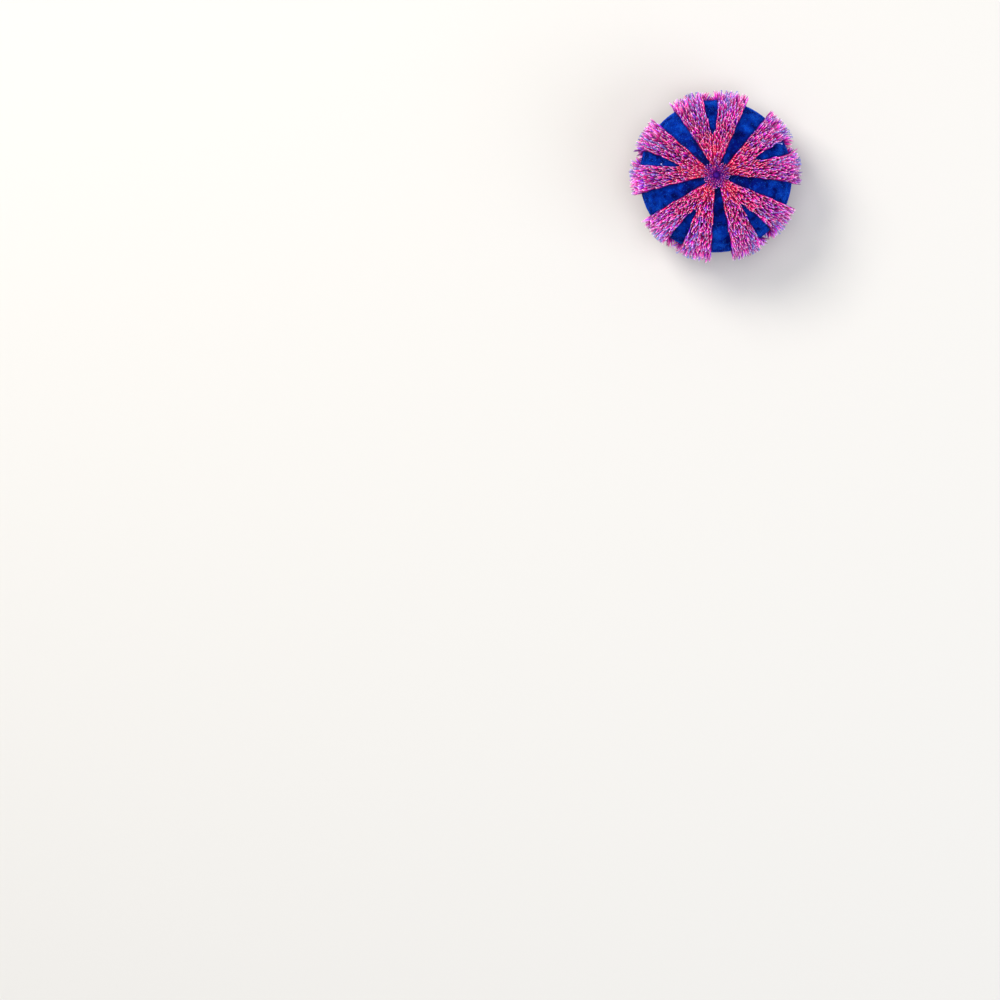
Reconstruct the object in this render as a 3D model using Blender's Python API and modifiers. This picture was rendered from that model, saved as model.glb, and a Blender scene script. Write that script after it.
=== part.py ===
"""Tuxedo urchin (Mespilia globulus), life size, standing on the spines round its mouth.

The globular test is parted in plan like a cake: five broad and five narrow naked bands, the
ten spiny tracts between them, the apical disc on top and the mouth below. +Z is up, the
origin is on the floor under the middle of the test, and one broad band faces -Y.
"""

import math
import random

import bmesh
import bpy
from mathutils import Matrix, Vector

MM = 0.001
SEED = 1857

# The test, an oblate globe built from two half superellipses that meet at the ambitus.
TEST_RADIUS = 25.8 * MM
AMBITUS_HEIGHT = 20.2 * MM
DOME_RISE = 20.4 * MM
BASE_DROP = 16.8 * MM
DOME_POWER = 2.15
BASE_POWER = 2.5
MERIDIAN_STEPS = 20
TURN_STEPS = 50

# The parting of the test. Every cut leaves this gap between two neighbours.
GAP = 0.3 * MM
SECTOR = math.radians(72)
HALF_SECTOR = SECTOR / 2
FRONT = math.radians(-90)
APICAL_RADIUS = 4.0 * MM
MOUTH_RADIUS = 8.2 * MM
PLUG_MEETING_HEIGHT = 21.0 * MM
APICAL_SIDES = 30
MOUTH_SIDES = 40

# Half widths of the naked bands, as seen from above.
BROAD_HALF_AT_APEX = 1.0 * MM
BROAD_HALF_AT_AMBITUS = 3.85 * MM
BROAD_WIDTH_FACTORS = (0.93, 1.02, 1.04, 0.93, 1.08)
BAND_GROWTH_LIMIT = 1.1
NARROW_START_RADIUS = 12.8 * MM
NARROW_HALF_AT_AMBITUS = 2.6 * MM
NARROW_GROWTH_POWER = 0.66
EDGE_STATIONS = (3.2 * MM, 8.0 * MM, 12.8 * MM, 13.5 * MM, 15.5 * MM, 19.0 * MM, 24.0 * MM, 30.0 * MM)

# The spines.
SPINE_SIDES = 4
SPINE_BASE_RADIUS = 0.5 * MM
SPINE_TIP_RADIUS = 0.2 * MM
SPINE_ROOT_DEPTH = 1.2 * MM
SPINE_LENGTH_AT_APEX = 2.8 * MM
SPINE_LENGTH_AT_AMBITUS = 3.7 * MM
SPINE_LENGTH_AT_MOUTH = 4.7 * MM
SPINE_LENGTH_SPREAD = 0.1
SPINE_ROW_SPACING = 2.7 * MM
SPINE_SPACING_IN_ROW = 2.55 * MM
SPINE_STAGGER = 0.25
SPINE_SHIFT = 0.08
SPINE_EDGE_MARGIN = 0.9 * MM
SPINE_FIRST_RADIUS = 5.3 * MM
SPINE_LAST_RADIUS = 9.7 * MM
SPINE_CLEARANCE = 0.3 * MM
SPINE_NEIGHBOURHOOD = 12.0 * MM
SPINE_TRIES = 8
FLOOR_OVERRUN = 0.25 * MM

# Lean of the spines off the surface's normal, as slopes. All lean outwards a little, and more
# so at the apex. On the dome those at the edges of a tract lean towards its middle. From the
# ambitus down those beside a narrow band lean over it, by a share of the way to its middle.
OUTWARD_LEAN = 0.04
APEX_LEAN = 0.3
APEX_LEAN_POWER = 5
EDGE_LEAN = 0.1
CROSSING_SHARE = 0.5
CROSSING_START = math.radians(28)
CROSSING_END = math.radians(4)
LEAN_JITTER = 0.09

# The apical disc.
PLATE_RADIUS = 1.05 * MM
PLATE_RING = 2.35 * MM
PLATE_RISE = 0.35 * MM
PLATE_ROOT = 1.5 * MM
PERIPROCT_RADIUS = 0.95 * MM
PERIPROCT_SECTION = ((0.0, 0.75 * MM), (0.6, 0.6 * MM), (1.0, -1.0 * MM), (0.0, -1.0 * MM))
PERIPROCT_STEPS = 12
DISC_SPINE_RING = 3.35 * MM
DISC_SPINE_SINK = 0.25 * MM
DISC_SPINE_RADIUS = 0.36 * MM
DISC_SPINE_LENGTH = 2.5 * MM
DISC_SPINE_LEAN = 0.35
DISC_SPINE_PLACES = (0.3, 0.7)

# The mouth. Each section pairs a share of a radius with a share of a depth.
MEMBRANE_SINK = 0.9 * MM
MEMBRANE_SECTION = ((1.0, 0.0), (0.9, 0.5), (0.7, 1.0))
LIP_RADIUS = 3.0 * MM
LIP_DROP = 0.7 * MM
LIP_SECTION = ((1.3, 0.0), (1.0, 0.7), (0.75, 1.0), (0.5, 0.3), (0.0, 0.0))
MOUTH_STEPS = 30
TOOTH_ROOT_WIDTH = 1.56 * MM
TOOTH_TIP_WIDTH = 0.57 * MM
TOOTH_FLATNESS = 0.62
TOOTH_LENGTH = 3.4 * MM
TOOTH_RING = 0.95 * MM
TOOTH_REACH = 1.4 * MM
TOOTH_TILT = math.radians(12)

# Colour, roughness and metallic value of each finish.
FINISHES = {
    "blue_skin": ((0.006, 0.032, 0.30, 1.0), 0.62, 0.0),
    "crimson_spines": ((0.42, 0.045, 0.17, 1.0), 0.5, 0.0),
    "violet_disc": ((0.16, 0.03, 0.22, 1.0), 0.55, 0.0),
    "mouth_membrane": ((0.45, 0.25, 0.30, 1.0), 0.6, 0.0),
}

SHARP_ANGLE = math.radians(35)
UP = Vector((0.0, 0.0, 1.0))


def clear_scene():
    """Remove whatever the file held before."""
    for obj in list(bpy.data.objects):
        bpy.data.objects.remove(obj, do_unlink=True)


def new_collection(name):
    """A collection linked under the scene's own."""
    collection = bpy.data.collections.new(name)
    bpy.context.scene.collection.children.link(collection)
    return collection


def finish(name):
    """The Principled material of that name, made on first use."""
    material = bpy.data.materials.get(name)
    if material is None:
        colour, roughness, metallic = FINISHES[name]
        material = bpy.data.materials.new(name)
        material.use_nodes = True
        shader = material.node_tree.nodes["Principled BSDF"]
        shader.inputs["Base Color"].default_value = colour
        shader.inputs["Roughness"].default_value = roughness
        shader.inputs["Metallic"].default_value = metallic
    return material


def evaluated_mesh(obj):
    """A new mesh of the object with its modifiers, its bevel and its matrix applied."""
    bpy.context.view_layer.update()
    graph = bpy.context.evaluated_depsgraph_get()
    mesh = bpy.data.meshes.new_from_object(obj.evaluated_get(graph))
    mesh.transform(obj.matrix_world)
    return mesh


def weld(mesh, distance=0.001 * MM):
    """Join the points of a mesh that lie in one place."""
    work = bmesh.new()
    work.from_mesh(mesh)
    bmesh.ops.remove_doubles(work, verts=work.verts, dist=distance)
    bmesh.ops.recalc_face_normals(work, faces=work.faces)
    work.to_mesh(mesh)
    work.free()


def test_point(angle):
    """Plan radius and height of the test's surface; the angle runs from 90 (top) to -90."""
    power = DOME_POWER if angle >= 0 else BASE_POWER
    reach = DOME_RISE if angle >= 0 else -BASE_DROP
    radius = TEST_RADIUS * max(math.cos(angle), 0.0) ** (2 / power)
    height = AMBITUS_HEIGHT + reach * abs(math.sin(angle)) ** (2 / power)
    return radius, height


def test_normal(angle):
    """Outward normal of the test's meridian at that angle, as (radial, vertical)."""
    step = math.radians(0.5)
    upper = test_point(min(angle + step, math.pi / 2))
    lower = test_point(max(angle - step, -math.pi / 2))
    along = Vector((lower[0] - upper[0], lower[1] - upper[1])).normalized()
    return Vector((-along.y, along.x))


def meridian_samples(count=720):
    """Angles down the meridian with the length of surface from the top to each."""
    samples = []
    length = 0.0
    before = None
    for i in range(count + 1):
        angle = math.pi / 2 - math.pi * i / count
        point = test_point(angle)
        if before is not None:
            length += math.hypot(point[0] - before[0], point[1] - before[1])
        samples.append((angle, length, point[0]))
        before = point
    return samples


def spine_rows():
    """Meridian angles of the rows of spines, evenly spaced from the apex to the mouth."""
    samples = meridian_samples()
    first = next(s[1] for s in samples if s[2] >= SPINE_FIRST_RADIUS)
    last = next(s[1] for s in reversed(samples) if s[2] >= SPINE_LAST_RADIUS)
    count = round((last - first) / SPINE_ROW_SPACING)
    wanted = [first + (last - first) * i / count for i in range(count + 1)]
    return [next(s[0] for s in samples if s[1] >= length - 1e-9) for length in wanted]


def turned(name, profile, steps):
    """A closed mesh turned round Z from (radius, height) points that run top to bottom."""
    mesh = bpy.data.meshes.new(name)
    points = [(radius, 0.0, height) for radius, height in profile]
    mesh.from_pydata(points, [(i, i + 1) for i in range(len(points) - 1)], [])
    obj = bpy.data.objects.new(name, mesh)
    bpy.context.scene.collection.objects.link(obj)
    screw = obj.modifiers.new("turn", "SCREW")
    screw.steps = steps
    screw.render_steps = steps
    screw.use_merge_vertices = True
    screw.merge_threshold = 0.001 * MM
    result = evaluated_mesh(obj)
    bpy.data.objects.remove(obj)
    weld(result)
    return result


def test_profile():
    """The meridian of the test from pole to pole."""
    angles = [math.pi / 2 - math.pi * i / MERIDIAN_STEPS for i in range(MERIDIAN_STEPS + 1)]
    return [test_point(angle) for angle in angles]


def plan_prism(name, outline, bottom, top):
    """An upright mesh prism on a plan outline, made from a flat curve with an extrude."""
    curve = bpy.data.curves.new(name, "CURVE")
    curve.dimensions = "2D"
    curve.fill_mode = "BOTH"
    curve.extrude = (top - bottom) / 2
    spline = curve.splines.new("POLY")
    spline.points.add(len(outline) - 1)
    for point, (x, y) in zip(spline.points, outline):
        point.co = (x, y, 0.0, 1.0)
    spline.use_cyclic_u = True
    obj = bpy.data.objects.new(name, curve)
    bpy.context.scene.collection.objects.link(obj)
    obj.location.z = (top + bottom) / 2
    mesh = evaluated_mesh(obj)
    bpy.data.objects.remove(obj)
    weld(mesh)
    return mesh


def cylinder_mesh(radius, bottom, top, sides):
    """An upright closed cylinder round Z."""
    mesh = bpy.data.meshes.new("cylinder")
    work = bmesh.new()
    place = Matrix.Translation((0.0, 0.0, (top + bottom) / 2))
    bmesh.ops.create_cone(
        work, cap_ends=True, segments=sides, radius1=radius, radius2=radius,
        depth=top - bottom, matrix=place,
    )
    work.to_mesh(mesh)
    work.free()
    return mesh


def cut_mesh(mesh, others, operation, solver="EXACT"):
    """The mesh after one Boolean with a collection of closed meshes, which are used up."""
    base = bpy.data.objects.new("base", mesh)
    bpy.context.scene.collection.objects.link(base)
    group = new_collection("operands")
    for i, other in enumerate(others):
        operand = other if isinstance(other, bpy.types.Object) else None
        if operand is None:
            operand = bpy.data.objects.new(f"operand_{i}", other)
        group.objects.link(operand)
    modifier = base.modifiers.new("boolean", "BOOLEAN")
    modifier.operation = operation
    modifier.solver = solver
    modifier.operand_type = "COLLECTION"
    modifier.collection = group
    result = evaluated_mesh(base)
    for operand in list(group.objects):
        bpy.data.objects.remove(operand)
    bpy.data.objects.remove(base)
    bpy.data.collections.remove(group)
    return result


def enclosed_volume(faces):
    """Signed volume inside a set of faces, from the origin's fans."""
    total = 0.0
    for face in faces:
        first = face.verts[0].co
        for i in range(1, len(face.verts) - 1):
            total += first.dot(face.verts[i].co.cross(face.verts[i + 1].co)) / 6
    return total


def keep_largest_surface(mesh):
    """Drop every closed surface but the largest, such as a sealed hollow or a loose scrap."""
    work = bmesh.new()
    work.from_mesh(mesh)
    unseen = set(work.faces)
    surfaces = []
    while unseen:
        stack = [unseen.pop()]
        surface = list(stack)
        while stack:
            for edge in stack.pop().edges:
                for face in edge.link_faces:
                    if face in unseen:
                        unseen.remove(face)
                        surface.append(face)
                        stack.append(face)
        surfaces.append(surface)
    surfaces.sort(key=enclosed_volume, reverse=True)
    dropped = [face for surface in surfaces[1:] for face in surface]
    bmesh.ops.delete(work, geom=dropped, context="FACES")
    work.to_mesh(mesh)
    work.free()
    return len(surfaces) - 1


def add_node(name, mesh, material, collection):
    """Put a finished mesh in the scene as a named node."""
    dropped = keep_largest_surface(mesh)
    if dropped:
        print(f"{name}: dropped {dropped} scraps")
    mesh.materials.clear()
    mesh.materials.append(finish(material))
    obj = bpy.data.objects.new(name, mesh)
    collection.objects.link(obj)
    mesh.shade_smooth()
    mesh.set_sharp_from_angle(angle=SHARP_ANGLE)
    return obj


def polar(radius, angle):
    """A plan point from its radius and azimuth."""
    return radius * math.cos(angle), radius * math.sin(angle)


def broad_azimuth(index):
    """Azimuth of the middle of a broad band."""
    return FRONT + SECTOR * index


def broad_half_width(index, radius):
    """Half the width of a broad band at a plan radius."""
    share = max(radius - APICAL_RADIUS, 0.0) / (TEST_RADIUS - APICAL_RADIUS)
    growth = min(share, BAND_GROWTH_LIMIT)
    half_width = BROAD_HALF_AT_APEX + (BROAD_HALF_AT_AMBITUS - BROAD_HALF_AT_APEX) * growth
    return half_width * BROAD_WIDTH_FACTORS[index % 5]


def narrow_half_width(radius):
    """Half the width of a narrow band at a plan radius; it is nothing near the apex."""
    share = (radius - NARROW_START_RADIUS) / (TEST_RADIUS - NARROW_START_RADIUS)
    return NARROW_HALF_AT_AMBITUS * min(max(share, 0.0), BAND_GROWTH_LIMIT) ** NARROW_GROWTH_POWER


def band_outline(azimuth, start_radius, half_width):
    """Plan outline of a naked band that starts at a radius and runs past the ambitus."""
    stations = [r for r in EDGE_STATIONS if r >= start_radius]
    sides = []
    for side in (-1, 1):
        angles = [side * math.asin(min(half_width(r) / r, 1.0)) for r in stations]
        sides.append([polar(r, azimuth + a) for r, a in zip(stations, angles)])
    if half_width(start_radius) <= 0:
        sides[1] = sides[1][1:]
    return sides[0] + sides[1][::-1]


def tract_limits(index, radius):
    """Angles from the broad band's middle to the two edges of a spiny tract at a radius."""
    near = math.asin(min((broad_half_width(index, radius) + GAP) / radius, 1.0))
    narrow = narrow_half_width(radius)
    edge = narrow + GAP if narrow > 0 else GAP / 2
    far = HALF_SECTOR - math.asin(edge / radius)
    return near, far


def tract_outline(index, side):
    """Plan outline of the tract on one side of a broad band."""
    middle = broad_azimuth(index)
    near = [polar(r, middle + side * tract_limits(index, r)[0]) for r in EDGE_STATIONS]
    far = [polar(r, middle + side * tract_limits(index, r)[1]) for r in EDGE_STATIONS]
    return near + far[::-1]


def plug_cutters():
    """The two cylinders that make room for the apical disc and the mouth."""
    top = (AMBITUS_HEIGHT + DOME_RISE) * 2
    above = cylinder_mesh(APICAL_RADIUS + GAP, PLUG_MEETING_HEIGHT - GAP / 2, top, APICAL_SIDES)
    below = cylinder_mesh(MOUTH_RADIUS + GAP, -BASE_DROP, PLUG_MEETING_HEIGHT - GAP / 4, MOUTH_SIDES)
    return [above, below]


def part_test(globe, outline):
    """The share of the test above a plan outline."""
    prism = plan_prism("prism", outline, -BASE_DROP, (AMBITUS_HEIGHT + DOME_RISE) * 2)
    return cut_mesh(globe.copy(), [prism], "INTERSECT")


def surface_frame(angle, azimuth):
    """Point, outward normal, downward tangent and sideways tangent of the test's surface."""
    radius, height = test_point(angle)
    radial = Vector((math.cos(azimuth), math.sin(azimuth), 0.0))
    flat, rise = test_normal(angle)
    normal = radial * flat + UP * rise
    down = radial * rise - UP * flat
    sideways = UP.cross(radial)
    return radial * radius + UP * height, normal, down, sideways


def spine_length(angle):
    """Length of a spine above the surface at a meridian angle."""
    end = SPINE_LENGTH_AT_APEX if angle >= 0 else SPINE_LENGTH_AT_MOUTH
    return SPINE_LENGTH_AT_AMBITUS + (end - SPINE_LENGTH_AT_AMBITUS) * math.sin(angle) ** 2


def outward_lean(angle):
    """Slope by which spines lean outwards off the normal at a meridian angle."""
    return OUTWARD_LEAN + APEX_LEAN * max(math.sin(angle), 0.0) ** APEX_LEAN_POWER


def sideways_lean(angle, share):
    """Slope by which a spine leans across its tract, below 0 towards the broad band.

    The share runs from 0 at the broad band's edge to 1 at the narrow band's edge.
    """
    if share < 0.5:
        return EDGE_LEAN * (1 - 2 * share)
    low = (CROSSING_START - angle) / (CROSSING_START - CROSSING_END)
    low = min(max(low, 0.0), 1.0)
    room = narrow_half_width(test_point(angle)[0]) + SPINE_EDGE_MARGIN
    crossing = CROSSING_SHARE * room / spine_length(angle)
    return (2 * share - 1) * (crossing * low - EDGE_LEAN * (1 - low))


def leaning_spine(angle, azimuth, outward, sideways, growth):
    """Foot and tip of a spine that leans off the normal by two slopes, cut short at the floor."""
    foot, normal, down, side = surface_frame(angle, azimuth)
    direction = (normal + down * outward + side * sideways).normalized()
    length = spine_length(angle) * growth
    if direction.z < 0:
        length = min(length, (foot.z + FLOOR_OVERRUN) / -direction.z)
    return foot, foot + direction * length


def free_distance(first, second):
    """Least distance between the sides of two tapered spines, each given as its two ends."""
    p, q = first[0], second[0]
    u, v = first[1] - p, second[1] - q
    w = p - q
    a, b, c, d, e = u.dot(u), u.dot(v), v.dot(v), u.dot(w), v.dot(w)
    flat = a * c - b * b
    s = min(max((b * e - c * d) / flat, 0.0), 1.0) if flat > 1e-18 else 0.0
    t = min(max((b * s + e) / c, 0.0), 1.0)
    s = min(max((b * t - d) / a, 0.0), 1.0)
    taper = SPINE_BASE_RADIUS - SPINE_TIP_RADIUS
    thickness = 2 * SPINE_BASE_RADIUS - taper * (s + t)
    return (w + u * s - v * t).length - thickness


def stands_clear(spine, placed):
    """Whether a spine keeps its distance from every spine placed so far."""
    near = [other for other in placed if (other[0] - spine[0]).length < SPINE_NEIGHBOURHOOD]
    return all(free_distance(spine, other) > SPINE_CLEARANCE for other in near)


def row_shares(width, row, rng):
    """Shares of the way across a tract where one row has its spines, staggered row by row."""
    if width < SPINE_SPACING_IN_ROW / 2:
        return [0.5] if width > 0 else []
    gaps = max(1, round(width / SPINE_SPACING_IN_ROW))
    stagger = SPINE_STAGGER if row % 2 else -SPINE_STAGGER
    inner = [(i + stagger + rng.uniform(-SPINE_SHIFT, SPINE_SHIFT)) / gaps for i in range(1, gaps)]
    return [0.0] + inner + [1.0]


def tract_spines(index, side, rng, placed):
    """Foot and tip of every spine of one tract, set clear of all the spines before them."""
    spines = []
    for row, angle in enumerate(spine_rows()):
        radius = test_point(angle)[0]
        near, far = tract_limits(index, radius)
        margin = SPINE_EDGE_MARGIN / radius
        near, far = near + margin, far - margin
        for share in row_shares((far - near) * radius, row, rng):
            azimuth = broad_azimuth(index) + side * (near + (far - near) * share)
            for attempt in range(SPINE_TRIES):
                wobble = LEAN_JITTER / (1 + attempt)
                spine = leaning_spine(
                    angle,
                    azimuth,
                    outward_lean(angle) + rng.uniform(-wobble, wobble),
                    side * sideways_lean(angle, share) + rng.uniform(-wobble, wobble),
                    1 + rng.uniform(-SPINE_LENGTH_SPREAD, SPINE_LENGTH_SPREAD),
                )
                if stands_clear(spine, placed):
                    spines.append(spine)
                    placed.append(spine)
                    break
    return spines


def cone_mesh():
    """The one tapered spine that every spine is a scaled copy of, one metre long on +Z."""
    mesh = bpy.data.meshes.new("spine")
    work = bmesh.new()
    bmesh.ops.create_cone(
        work, cap_ends=True, segments=SPINE_SIDES, radius1=1.0,
        radius2=SPINE_TIP_RADIUS / SPINE_BASE_RADIUS, depth=1.0,
        matrix=Matrix.Translation((0.0, 0.0, 0.5)),
    )
    work.to_mesh(mesh)
    work.free()
    return mesh


def spine_object(cone, spine, turn, base_radius=SPINE_BASE_RADIUS):
    """One spine from its foot to its tip, with its root sunk below the foot."""
    foot, tip = spine
    direction = (tip - foot).normalized()
    root = foot - direction * SPINE_ROOT_DEPTH
    obj = bpy.data.objects.new("spine", cone)
    spin = Matrix.Rotation(turn, 4, "Z")
    size = Matrix.Diagonal((base_radius, base_radius, (tip - root).length, 1.0))
    aim = direction.to_track_quat("Z", "Y").to_matrix().to_4x4()
    obj.matrix_world = Matrix.Translation(root) @ aim @ spin @ size
    return obj


def floor_cutter():
    """A slab under the floor, which leaves a small flat on each spine that stands on it."""
    mesh = bpy.data.meshes.new("floor")
    work = bmesh.new()
    size = TEST_RADIUS * 4
    place = Matrix.Translation((0.0, 0.0, -size / 2)) @ Matrix.Diagonal((size, size, size, 1.0))
    bmesh.ops.create_cube(work, size=1.0, matrix=place)
    work.to_mesh(mesh)
    work.free()
    return mesh


def build_bands(globe, collection):
    """The five broad and the five narrow naked bands."""
    for index in range(5):
        outline = band_outline(
            broad_azimuth(index), EDGE_STATIONS[0],
            lambda r, index=index: broad_half_width(index, r),
        )
        mesh = cut_mesh(part_test(globe, outline), plug_cutters(), "DIFFERENCE")
        add_node(f"broad_band_{index + 1}", mesh, "blue_skin", collection)
        outline = band_outline(
            broad_azimuth(index) + HALF_SECTOR, NARROW_START_RADIUS, narrow_half_width
        )
        add_node(f"narrow_band_{index + 1}", part_test(globe, outline), "blue_skin", collection)


def build_tracts(globe, collection, placed):
    """The ten spiny tracts, each fused with its spines and cut level with the floor."""
    rng = random.Random(SEED)
    cone = cone_mesh()
    total = 0
    for index in range(5):
        for side, suffix in ((-1, "a"), (1, "b")):
            mesh = cut_mesh(
                part_test(globe, tract_outline(index, side)), plug_cutters(), "DIFFERENCE"
            )
            spines = tract_spines(index, side, rng, placed)
            total += len(spines)
            cones = [spine_object(cone, spine, rng.uniform(0, math.tau)) for spine in spines]
            mesh = cut_mesh(mesh, cones, "UNION", "MANIFOLD")
            mesh = cut_mesh(mesh, [floor_cutter()], "DIFFERENCE", "MANIFOLD")
            add_node(f"spiny_tract_{index + 1}{suffix}", mesh, "crimson_spines", collection)
    print(f"{total} spines on the tracts")


def genital_plate(azimuth, top):
    """One six-sided plate of the apical disc."""
    plate = cylinder_mesh(PLATE_RADIUS, top - PLATE_ROOT, top + PLATE_RISE, 6)
    turn = Matrix.Rotation(azimuth, 4, "Z")
    plate.transform(turn @ Matrix.Translation((PLATE_RING, 0.0, 0.0)))
    return plate


def disc_spine(azimuth, top, rng):
    """Foot and tip of one short spine at the disc's rim."""
    radial = Vector((math.cos(azimuth), math.sin(azimuth), 0.0))
    foot = radial * DISC_SPINE_RING + UP * (top - DISC_SPINE_SINK)
    lean = DISC_SPINE_LEAN + rng.uniform(-LEAN_JITTER, LEAN_JITTER)
    return foot, foot + (UP + radial * lean).normalized() * DISC_SPINE_LENGTH


def build_apical_disc(globe, collection, placed):
    """The disc at the apex: five genital plates round the periproct, and short spines."""
    rng = random.Random(SEED + 1)
    cone = cone_mesh()
    top = AMBITUS_HEIGHT + DOME_RISE
    plug = cylinder_mesh(APICAL_RADIUS, PLUG_MEETING_HEIGHT + GAP / 2, top * 2, APICAL_SIDES)
    mesh = cut_mesh(globe.copy(), [plug], "INTERSECT")
    section = [(PERIPROCT_RADIUS * share, top + rise) for share, rise in PERIPROCT_SECTION]
    pieces = [turned("periproct", section, PERIPROCT_STEPS)]
    for index in range(5):
        azimuth = broad_azimuth(index)
        pieces.append(genital_plate(azimuth, top))
        for place in DISC_SPINE_PLACES:
            spine = disc_spine(azimuth + SECTOR * place, top, rng)
            placed.append(spine)
            turn = rng.uniform(0, math.tau)
            pieces.append(spine_object(cone, spine, turn, DISC_SPINE_RADIUS))
    mesh = cut_mesh(mesh, pieces, "UNION")
    add_node("apical_disc", mesh, "violet_disc", collection)


def tooth_mesh(azimuth, tip_height):
    """One flat tapered tooth that stands in the mouth with its tip down."""
    mesh = bpy.data.meshes.new("tooth")
    work = bmesh.new()
    bmesh.ops.create_cone(
        work, cap_ends=True, segments=4, radius1=TOOTH_TIP_WIDTH / 2,
        radius2=TOOTH_ROOT_WIDTH / 2, depth=TOOTH_LENGTH,
        matrix=Matrix.Translation((0.0, 0.0, TOOTH_LENGTH / 2)),
    )
    work.to_mesh(mesh)
    work.free()
    mesh.transform(
        Matrix.Rotation(azimuth, 4, "Z")
        @ Matrix.Translation((TOOTH_RING, 0.0, tip_height))
        @ Matrix.Rotation(TOOTH_TILT, 4, "Y")
        @ Matrix.Diagonal((TOOTH_FLATNESS, 1.0, 1.0, 1.0))
    )
    return mesh


def build_mouth(collection):
    """The membrane round the mouth, its lip, and the five teeth that show in it."""
    edge_angle = next(s[0] for s in reversed(meridian_samples()) if s[2] >= MOUTH_RADIUS)
    edge = test_point(edge_angle)[1]
    sunk = edge + MEMBRANE_SINK
    top = PLUG_MEETING_HEIGHT - GAP
    profile = [(0.0, top), (MOUTH_RADIUS, top)]
    profile += [(MOUTH_RADIUS * r, edge + MEMBRANE_SINK * z) for r, z in MEMBRANE_SECTION]
    profile += [(LIP_RADIUS * r, sunk - LIP_DROP * z) for r, z in LIP_SECTION]
    tip_height = sunk - TOOTH_REACH - LIP_DROP
    teeth = [tooth_mesh(broad_azimuth(index), tip_height) for index in range(5)]
    mesh = cut_mesh(turned("mouth", profile, MOUTH_STEPS), teeth, "UNION")
    add_node("mouth", mesh, "mouth_membrane", collection)


def build_urchin():
    """Build every node of the urchin."""
    clear_scene()
    collection = new_collection("tuxedo_urchin")
    globe = turned("test", test_profile(), TURN_STEPS)
    placed = []
    build_apical_disc(globe, collection, placed)
    build_bands(globe, collection)
    build_tracts(globe, collection, placed)
    build_mouth(collection)


build_urchin()
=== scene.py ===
"""Looks of a tuxedo urchin (Mespilia globulus) that rests on a pale floor, seen from above.

The urchin is built outwards from its test: one skin with ten bare blue bands, a coat of
spines on each of the ten tracts between them, the velvet of tiny knobs on the bands, the
tube feet, the plates of the apical disc, and the mouth with its five teeth underneath.
All lengths are metres, +Z is up, and the floor is at height 0.
"""

import logging
import math
from collections.abc import Callable
from dataclasses import dataclass
from enum import Enum
from functools import partial
from typing import ClassVar

import bmesh
import bpy
import numpy as np
from mathutils import Matrix, Vector


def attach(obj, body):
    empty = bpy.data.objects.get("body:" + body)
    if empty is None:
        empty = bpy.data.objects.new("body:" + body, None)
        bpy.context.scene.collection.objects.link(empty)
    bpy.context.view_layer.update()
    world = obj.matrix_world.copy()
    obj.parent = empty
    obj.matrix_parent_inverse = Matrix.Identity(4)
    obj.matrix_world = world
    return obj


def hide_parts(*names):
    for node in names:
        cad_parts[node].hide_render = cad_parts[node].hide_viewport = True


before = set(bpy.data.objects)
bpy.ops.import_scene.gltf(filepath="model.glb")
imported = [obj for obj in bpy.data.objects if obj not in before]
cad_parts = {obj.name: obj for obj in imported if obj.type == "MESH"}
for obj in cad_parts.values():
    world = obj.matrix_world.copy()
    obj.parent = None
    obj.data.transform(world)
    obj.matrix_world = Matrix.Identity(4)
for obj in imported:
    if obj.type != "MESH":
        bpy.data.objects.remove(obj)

LOG = logging.getLogger("tuxedo_urchin")
MM = 0.001
FULL_TURN = math.tau
QUARTER_TURN = math.pi / 2
SECTORS = 5
SECTOR = FULL_TURN / SECTORS
HALF_SECTOR = SECTOR / 2
FRONT = math.radians(-90)
UP = np.array([0.0, 0.0, 1.0])
BAKE_MAP = "OFBake"
BAKE_START = 0.004
BAKE_SPAN = 0.988
PATCH = 0.003
ROOT_BODY = "root"

Array = np.ndarray
Generator = np.random.Generator
Socket = bpy.types.NodeSocket
Material = bpy.types.Material
Mesh = bpy.types.Mesh
Object = bpy.types.Object
Maker = Callable[..., Socket]


class Slot(Enum):
    """The record's material slots."""

    TRACT = "spiny_tract"
    BAND = "blue_skin"
    DISC = "apical_disc"
    MOUTH = "mouth"


class Side(Enum):
    """The two spiny tracts that flank a broad band, named as the solids name them."""

    RIGHT = -1
    LEFT = 1

    @property
    def letter(self) -> str:
        """Letter of the tract in node names."""
        return "a" if self is Side.RIGHT else "b"


class SpineKind(Enum):
    """Girth of each size of spine above its collar, and its share of the full length."""

    PRIMARY = (0.215 * MM, 1.0)
    SECONDARY = (0.175 * MM, 0.74)
    MILIARY = (0.11 * MM, 0.4)


# Helpers for meshes and pieces


def unit(vectors: Array) -> Array:
    """Scale vectors to length 1."""
    return vectors / np.linalg.norm(vectors, axis=-1, keepdims=True)


def radial(azimuth: Array) -> Array:
    """Level unit vectors that point away from the axis."""
    return np.stack([np.cos(azimuth), np.sin(azimuth), np.zeros_like(azimuth)], axis=-1)


def ring_of(sides: int) -> Array:
    """Evenly spaced angles round a ring."""
    return FULL_TURN * np.arange(sides) / sides


def ring_quads(levels: int, sides: int) -> Array:
    """Corner numbers of the quads between rings that follow each other.

    Args:
        levels: Number of rings.
        sides: Number of points in each.

    Returns:
        One row a quad.
    """
    level, side = np.meshgrid(np.arange(levels - 1), np.arange(sides), indexing="ij")
    after = (side + 1) % sides
    low, high = level * sides, (level + 1) * sides
    return np.stack([low + side, low + after, high + after, high + side], axis=-1).reshape(-1, 4)


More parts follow.
